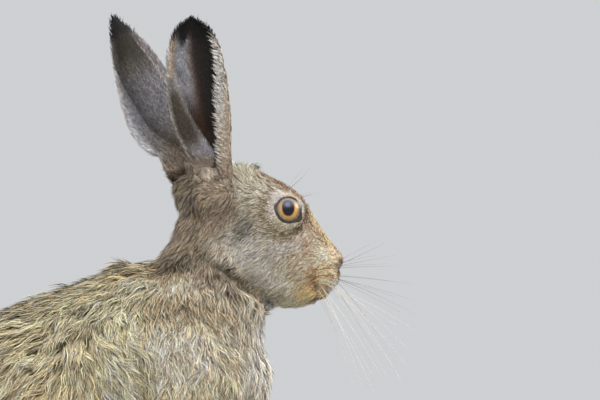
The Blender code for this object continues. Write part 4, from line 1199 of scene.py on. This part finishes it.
def unwrapped(island, points):
    # lays the islands of the skin, each seen straight on, side by side in the unit square
    axis = np.where(island < earPlan["island"], island % 6 // 2, 2)[:, None]
    flat = np.where(axis == 0, points[:, [1, 2]], np.where(axis == 1, points[:, [0, 2]], points[:, [0, 1]]))
    names = np.unique(island)
    lows, sizes = [], []
    for name in names:
        some = flat[island == name]
        lows.append(some.min(0) - 1.5)
        sizes.append(tuple(some.max(0) - some.min(0) + 3))
    places, side = shelfPacked(sizes)
    made = np.zeros_like(flat)
    for name, low, place in zip(names, lows, places):
        chosen = island == name
        made[chosen] = flat[chosen] - low + place
    return 0.004 + made / side * 0.99


# How the blades stray from the guides: shares of their length and width, angles in radians.
growth = {
    "lockLength": 0.14, "ownLength": 0.13, "spread": 0.11, "stand": 0.09, "roll": 0.7,
    "widths": (0.75, 1.25), "tones": (0.86, 1.14), "lockTone": 0.09,
    "deepRoot": 0.5, "shallowRoot": 0.1, "pushOut": 2.5, "least": 0.55,      # millimetres
    "darkBelow": 0.34, "paleAbove": 0.70, "tipTone": (248, 240, 224),
    "tapers": {2: [1.0, 0.85, 0], 3: [1.0, 0.95, 0.72, 0]},
    "patch": 0.0015,      # half the size of a blade in the unwrap
}


def growBlades(skin, chosen, steps, follow, wave, gather, tree):
    # blades of fur on the chosen triangles of the skin, as arrays for meshes
    faces = skin["faces"][chosen]
    corners = skin["points"][faces]
    across, along = corners[:, 1] - corners[:, 0], corners[:, 2] - corners[:, 0]
    area = np.linalg.norm(np.cross(across, along), axis=1) / 2
    share = np.cumsum(area * skin["density"][faces].mean(1))
    count = int(share[-1])
    pick = np.searchsorted(share, (np.arange(count) + chance.random(count)) / count * share[-1])
    pick = np.minimum(pick, len(faces) - 1)
    a, b = chance.random((2, count))
    a, b = np.where(a + b > 1, 1 - a, a), np.where(a + b > 1, 1 - b, b)
    bary = np.stack([1 - a - b, a, b], 1)
    at = faces[pick]

    def field(name):
        return np.einsum("nk,nk...->n...", bary, skin[name][at])

    root, normal = field("points"), unit(field("normals"))
    length, width, lift = field("length"), field("width"), field("lift")
    lockSize, agouti, colour = field("lock"), field("agouti"), field("colour")
    flow = alongSkin(field("flow"), normal)

    # every lock follows the hair in its middle
    perLock = max(2.0, float(np.mean(skin["density"][at[:, 0]] * lockSize**2)))
    leaders = chance.choice(count, max(8, int(count / perLock)), replace=False)
    finder = KDTree(len(leaders))
    for i, p in enumerate(root[leaders].tolist()):
        finder.insert(p, i)
    finder.balance()
    lead = np.array([finder.find(p)[1] for p in root.tolist()])

    many = len(leaders)
    turn = np.clip(chance.normal(0, 1, many), -2, 2)
    phase = chance.random(many) * 2 * math.pi
    stand = np.clip(chance.normal(0, growth["stand"], many), -0.2, 0.2)
    sunk = growth["deepRoot" if follow else "shallowRoot"]
    way, out = flow[leaders], normal[leaders]
    point = root[leaders] - out * sunk
    lockLength = 1 + growth["lockLength"] * chance.normal(0, 1, many)
    lockLength = length[leaders] * np.clip(lockLength, 0.6, 1.4)
    path = [point]
    for k in range(steps):
        share = k / max(steps - 1, 1)
        angle = turn * wave * 0.55 + wave * np.sin(phase + share * 2.6)
        sideways = np.cross(out, way)
        lean = way * np.cos(angle)[:, None] + sideways * np.sin(angle)[:, None]
        rise = (lift[leaders] + stand) * (1 - share) + (math.radians(2) + stand * 0.7) * share
        ahead = lean * np.cos(rise)[:, None] + out * np.sin(rise)[:, None]
        point = point + ahead * (lockLength / steps)[:, None]
        if follow:                                          # the tips stay over the skin
            hit = [tree.find_nearest(p)[2] for p in point.tolist()]
            near = skin["faces"][hit]
            out = unit(out * 0.4 + skin["normals"][near].mean(1) * 0.6)
            base = skin["points"][near].mean(1)
            under = np.clip(0.4 * (k + 1) - dot(point - base, out), 0, growth["pushOut"])
            point = point + out * under[:, None]
            way = alongSkin(unit(way * 0.6 + skin["flow"][near].mean(1) * 0.4), out)
        path.append(point)
    path = np.array(path)                                   # step, lock, place

    own = np.clip(1 + growth["ownLength"] * chance.normal(0, 1, count), 0.55, 1.5) * length / lockLength[lead]
    spread = chance.normal(0, 1, (count, 3)) * length[:, None] * growth["spread"]
    spread -= normal * (dot(spread, normal) * 0.5)[:, None]
    start = root - normal * sunk
    gatherAt = gather * np.clip(1 - 0.3 * np.abs(chance.normal(0, 1, count)), 0.1, 1)
    rows = []
    for k in range(steps + 1):
        t = k / steps
        place = start + (path[k][lead] - path[0][lead]) * own[:, None] + spread * t**1.2
        place = place + (path[k][lead] - place) * (gatherAt * t**1.3)[:, None]
        rows.append(place)
    rows = np.array(rows)                                   # step, blade, place
    rows[:, :, 2] = np.maximum(rows[:, :, 2], growth["least"])

    roll = chance.uniform(-growth["roll"], growth["roll"], count)
    widthNow = width * chance.uniform(*growth["widths"], count) / 2
    order, shine = [], []
    for k, taper in enumerate(growth["tapers"][steps]):
        tangent = unit(rows[min(k + 1, steps)] - rows[max(k - 1, 0)])
        across = unit(np.cross(tangent, normal))
        third = np.cross(across, tangent)
        across = across * np.cos(roll)[:, None] + third * np.sin(roll)[:, None]
        half = across * (widthNow * taper)[:, None]
        edges = [rows[k] - half, rows[k] + half] if taper else [rows[k]]
        order += edges
        shine += [unit(third * 0.45 + normal * 0.8)] * len(edges)
    points, shine = np.stack(order, 1), np.stack(shine, 1)  # blade, corner, place
    level = np.array([k / steps for k in range(steps) for _ in (0, 1)] + [1.0])
    last = 2 * steps
    tris = [t for a in range(0, last - 2, 2) for t in ((a, a + 1, a + 3), (a, a + 3, a + 2))]
    tris.append((last - 2, last - 1, last))

    # bands: dark at the root, its own tone, then a dark or a pale tip
    strand = chance.random(count)
    lockTone = 1 + growth["lockTone"] * chance.normal(0, 1, many)[lead]
    darkTip = (strand < growth["darkBelow"]) * agouti
    paleTip = (strand > growth["paleAbove"]) * agouti
    tone = colour * lockTone[:, None] * chance.uniform(*growth["tones"], count)[:, None]
    bands = []
    for t in level:
        dark = (1 - ease(0, 0.45, t)) * (0.22 + 0.28 * agouti)
        dark = dark + ease(0.35, 0.9, t) * darkTip * coatShade["dark"]
        pale = ease(0.2, 0.8, t) * paleTip * coatShade["pale"]
        shown = tone * (1 - dark)[:, None]
        bands.append(painted(shown, pale, growth["tipTone"]))
    bands = np.minimum(linear(np.stack(bands, 1)) * coatShade["gain" if follow else "earGain"], 0.92)
    patch = growth["patch"]
    wide = np.array([s * patch for k in range(steps) for s in (-1, 1)] + [0.0])
    tall = (level - 0.5) * 2 * patch
    return {
        "points": points, "tris": np.array(tris), "level": level, "strand": strand,
        "colour": bands, "normals": shine, "flat": field("flat"),
        "island": skin["island"][chosen][pick], "patch": np.stack([wide, tall], 1),
    }


def coatPieces(name, blades, uv, material, slot, limit=190000):
    # meshes of the blades, each with fewer triangles than the limit, with their unwrap
    count, corners = blades["points"].shape[:2]
    perPiece = limit // len(blades["tris"])
    pieces = max(1, math.ceil(count / perPiece))
    bounds = np.linspace(0, count, pieces + 1).astype(int)
    for number, (low, high) in enumerate(zip(bounds, bounds[1:]), 1):
        n = high - low
        points = blades["points"][low:high].reshape(-1, 3)
        faces = (np.arange(n)[:, None, None] * corners + blades["tris"]).reshape(-1, 3)
        obj = meshFrom(name if pieces == 1 else f"{name}{number}", points, faces)
        pointValues(obj, "coat", withAlpha(blades["colour"][low:high].reshape(-1, 3)), "FLOAT_COLOR")
        pointValues(obj, "along", np.tile(blades["level"], n))
        pointValues(obj, "strand", np.repeat(blades["strand"][low:high], corners))
        layer = obj.data.uv_layers.new(name="OFBake")
        place = (uv[low:high, None, :] + blades["patch"][None]).reshape(-1, 2)
        layer.data.foreach_set("uv", place[faces.ravel()].astype(np.float32).ravel())
        obj.data.normals_split_custom_set_from_vertices(blades["normals"][low:high].reshape(-1, 3))
        putOn(obj, material, slot)


coatGroups = [   # name, parts, slot, segments, wave, gather
    ("coatHead", ("head",), "coat_grey", 3, 0.24, 0.24),
    ("coatNeck", ("neck",), "coat_rufous", 3, 0.42, 0.30),
    ("coatBody", ("torso",), "coat_brown", 3, 0.42, 0.30),
    ("coatHaunch", ("thigh",), "coat_brown", 3, 0.30, 0.34),
    ("coatTail", ("tail",), "coat_white", 3, 0.30, 0.40),
    ("coatLegs", ("foreleg", "forepaw", "hindfoot"), "coat_rufous", 2, 0.18, 0.3),
]


# How the fur of the ears grows, and the finish of each slot: name, roughness and sheen.
earCoat = {"segments": 2, "wave": 0.14, "gather": 0.3}
furFinishes = {
    "coat_grey": ("grizzled head fur", 0.62, 0.15), "coat_rufous": ("buff fur", 0.62, 0.15),
    "coat_brown": ("grizzled body fur", 0.6, 0.2), "coat_white": ("long tail fur", 0.62, 0.2),
    "ear_grey": ("short ear fur", 0.7, 0.04),
}


def bodyCoat(points, faces, labels):
    # all that the fur of the head and body grows by
    edges = edgesOf(faces)
    weights = softened(np.eye(len(partNames))[labels], edges, 10)
    normals = unit(softened(normalsOf(points, faces), edges, 3))
    flow, length, lift = coatFields(points, normals, weights, edges)
    grows, shorter = bareness(points, weights)
    density, width, agouti, lock = (weights @ np.array([coatPlan[n] for n in partNames])).T
    colour = bodyMarkings(points, normals, weights[:, :-1])
    x, _, z = headPlaces(points).T
    head, torso = weights[:, 0], weights[:, 2]
    crown = head * ease(311, 317, z) * ease(60, 66, x)                        # its tuft is ragged
    length = length * (1 + 0.36 * crown * wander(points, 7, 11))
    shoulder = ease(-60, 0, points[:, 0]) * ease(120, 160, points[:, 2])      # what the photo shows
    width = width * (0.55 + 0.45 * ease(3, 16, length)) * (1 - 0.28 * shoulder * torso)
    density = density * (1 + 0.4 * head * ease(96, 118, x)) * (1 + torso * (1.4 * shoulder - 0.5))
    agouti = agouti * (1 - 0.7 * ease(160, 205, colour.min(1))) * (1 - 0.45 * head * ease(100, 120, x))
    # the skin is seen straight on from six sides for the unwrap
    faceNormal = normals[faces].mean(1)
    axis = np.abs(faceNormal).argmax(1)
    island = labels[faces[:, 0]] * 6 + axis * 2 + (faceNormal[np.arange(len(faces)), axis] > 0)
    return {
        "points": points, "faces": faces, "normals": normals, "flow": aroundEyes(points, flow, normals),
        "length": length * shorter, "width": width, "lift": lift, "lock": lock,
        "density": density * grows, "agouti": agouti, "colour": colour,
        "island": island, "flat": points,
    }


def earCoatOf(plan):
    # the skin of one ear with all that its fur grows by
    ear = buildEarSkin(plan)
    density, width, agouti, lock = coatPlan["ear"]
    half, beside, tall = earPlan["unwrap"]
    s, v, inner = ear["across"], ear["along"], ear["inner"]
    lean = np.radians(24 * s + 32 * ease(0.7, 0.95, s) * (1 - inner))
    rim = ease(0.86, 1.0, np.abs(s))
    colour = earMarkings(ear)
    return ear | {
        "normals": normalsOf(ear["points"], ear["faces"]),
        "flow": unit(ear["up"] * np.cos(lean)[:, None] + ear["sideways"] * np.sin(lean)[:, None]),
        "length": 3.6 - 1.2 * inner + 2.2 * rim * ease(0.02, 0.2, v) + 1.0 * ease(0.25, 0.05, v),
        "width": np.full(len(s), width), "lock": np.full(len(s), lock),
        "lift": np.radians(13 + 10 * rim - 3 * inner),
        "density": density * (1 - 0.25 * inner), "colour": colour,
        "agouti": agouti * (0.7 + 0.3 * ease(0.35, 0.1, v)) * ease(10, 90, colour.mean(1)),
        "flat": np.stack([s * half + beside * (inner > 0.5), v * tall, 0 * s], 1),
        "island": np.full(len(ear["faces"]), earPlan["island"] + (plan["side"] > 0)),
    }


def layCoat(body, labels, earSkins):
    tree = BVHTree.FromPolygons(body["points"].tolist(), body["faces"].tolist(), all_triangles=True)
    triLabel = labels[body["faces"][:, 0]]
    blades = []
    for name, parts, slot, steps, wave, gather in coatGroups:
        chosen = np.isin(triLabel, [partNames.index(p) for p in parts])
        blades.append((name, slot, growBlades(body, chosen, steps, True, wave, gather, tree)))
        print(name, len(blades[-1][2]["points"]), "blades")
    for which, ear in earSkins.items():
        whole = np.ones(len(ear["faces"]), bool)
        made = growBlades(ear, whole, earCoat["segments"], False, earCoat["wave"], earCoat["gather"], None)
        blades.append(("coatEar" + which.capitalize(), "ear_grey", made))
        print("ear", which, len(made["points"]), "blades")
    uv = unwrapped(np.concatenate([made["island"] for _, _, made in blades]),
                   np.vstack([made["flat"] for _, _, made in blades]))
    finishes = {slot: coatMaterial(*finish) for slot, finish in furFinishes.items()}
    start = 0
    for name, slot, made in blades:
        count = len(made["points"])
        coatPieces(name, made, uv[start:start + count], finishes[slot], slot)
        start += count
    print("coat laid")


def laySkin(skins):
    # one skin: the body and both ears
    obj = meshFrom("skin", *gathered([(s["points"], s["faces"]) for s in skins]))
    under = linear(np.vstack([s["colour"] for s in skins])) * coatShade["skinGain"]
    pointValues(obj, "coat", withAlpha(under), "FLOAT_COLOR")
    putOn(obj, skinMaterial(), "coat_grey",
          *(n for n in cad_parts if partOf(n) in (*coatDepth, "ear")))
    print("skin laid")
    points, faces = arraysOf(obj.data)
    return BVHTree.FromPolygons(points.tolist(), faces.tolist(), all_triangles=True)


# Whiskers and brow hairs: root (x, z), tip and sag in millimetres.
whiskerPlan = {
    "finish": ((38, 30, 26), (206, 198, 186)), "darkAbove": 246, "rootWidth": 0.15, "taper": 0.11,
    "points": 22, "sides": 5,
    "hairs": [
        ((122, 252), (172, 34, 262), 0), ((127, 252.5), (176, 42, 255), 1),
        ((132, 253), (168, 30, 271), 0), ((121, 248.5), (182, 48, 243), 2),
        ((126, 248), (184, 50, 232), 2), ((131, 247.5), (186, 46, 222), 3),
        ((124, 244.5), (185, 44, 212), 4), ((128, 243.5), (178, 44, 190), 6),
        ((132, 242.5), (176, 38, 178), 7), ((122, 241), (158, 32, 172), 6),
        ((126.5, 240), (151, 24, 176), 4), ((129.5, 245.5), (180, 36, 200), 5),
        ((124, 242.5), (164, 28, 181), 5), ((130, 250), (168, 44, 196), 6),
        ((104.5, 305), (116.5, 22, 318), 0), ((105.5, 306.5), (111, 24, 314), 0),
        ((110, 299.5), (122.5, 22, 303), 0),
    ],
}


def buildWhiskers(side, name, skinTree):
    # fine whiskers in rows on the lip: the upper ones dark and forward, the lower ones pale
    parts, shades = [], []
    count, sides = whiskerPlan["points"], whiskerPlan["sides"]
    along = np.linspace(0, 1, count)
    for (x, z), tip, sag in whiskerPlan["hairs"]:
        outside = turnHead(toSided((x, 60, z), side))
        inward = turnHead(np.array([0.0, -side, 0]), vector=True)
        hit = skinTree.ray_cast(outside.tolist(), inward.tolist())[0]
        if hit is None:
            continue
        start = np.array(hit) + inward * 0.8
        end = turnHead(toSided(tip, side))
        pull = start * 0.55 + end * 0.45 - inward * 12 - np.array([0, 0, -sag])
        t = along[:, None]
        line = start * (1 - t) ** 2 + 2 * pull * t * (1 - t) + end * t**2
        parts.append(tube(line, whiskerPlan["rootWidth"] - whiskerPlan["taper"] * along**1.2, sides))
        shades.append((0.12 if z > whiskerPlan["darkAbove"] else 0.85) + 0.25 * np.repeat(along, sides))
    obj = meshFrom(name, *gathered(parts))
    pointValues(obj, "shade", np.clip(np.concatenate(shades), 0, 1))
    n = Nodes("whisker " + name[-5:])
    dark, pale = whiskerPlan["finish"]
    mixed = n.timesPlus(n.noise(600, 2), 0.2, n.attribute("shade")["Fac"])
    finish = n.finish(Base_Color=n.ramp(mixed, [(0.1, dark), (0.95, pale)]), Roughness=0.35)
    putOn(obj, finish, "lip_cream", "whiskers_left" if side > 0 else "whiskers_right")


# Claws: where the toes of a foot end, their middle and half their spread, and (x, z, radius) along one.
feet = {
    "fore": (106, 22, 9.0), "hind": (-60, 55.5, 10.5), "toes": 4, "toeStep": 3.5,
    "claw": [(-5.5, 6.6, 1.5), (-2, 6.4, 1.55), (1.5, 5.4, 1.3), (4, 3.6, 0.95), (5.6, 2.2, 0.35)],
}


def buildClaws():
    parts = []
    for side, _ in bothSides:
        for tipX, middleY, spread in (feet["fore"], feet["hind"]):
            for off in np.linspace(-1, 1, feet["toes"]):
                tip, y = tipX - feet["toeStep"] * off**2, side * (middleY + off * spread)
                line = curveThrough([(tip + x, y, z, r) for x, z, r in feet["claw"]], 3)
                parts.append(tube(line[:, :3], line[:, 3], 8))
    horn = plainMaterial("dark horn", (32, 26, 22), (72, 60, 48), 0.4, 500)
    putOn(meshFrom("claws", *gathered(parts)), horn, "coat_rufous")


def main():
    buildStudio()
    print("studio set")
    for side, name in bothSides:
        buildEye(side, "eye" + name)
    lidFinish = plainMaterial("dark moist lid", (24, 19, 17), (48, 38, 33), 0.35, 700, 0.35, 0.0003, 0.4)
    for side, name in bothSides:
        buildLids(side, "lids" + name, lidFinish)
    print("eyes set in their lids")
    points, faces, labels = buildBodySkin()
    body = bodyCoat(points, faces, labels)
    earSkins = {which: earCoatOf(plan) for which, plan in ears.items()}
    layCoat(body, labels, earSkins)
    skinTree = laySkin([body, *earSkins.values()])
    for side, name in bothSides:
        buildWhiskers(side, "whiskers" + name, skinTree)
    buildClaws()
    print("whiskers and claws set")


main()
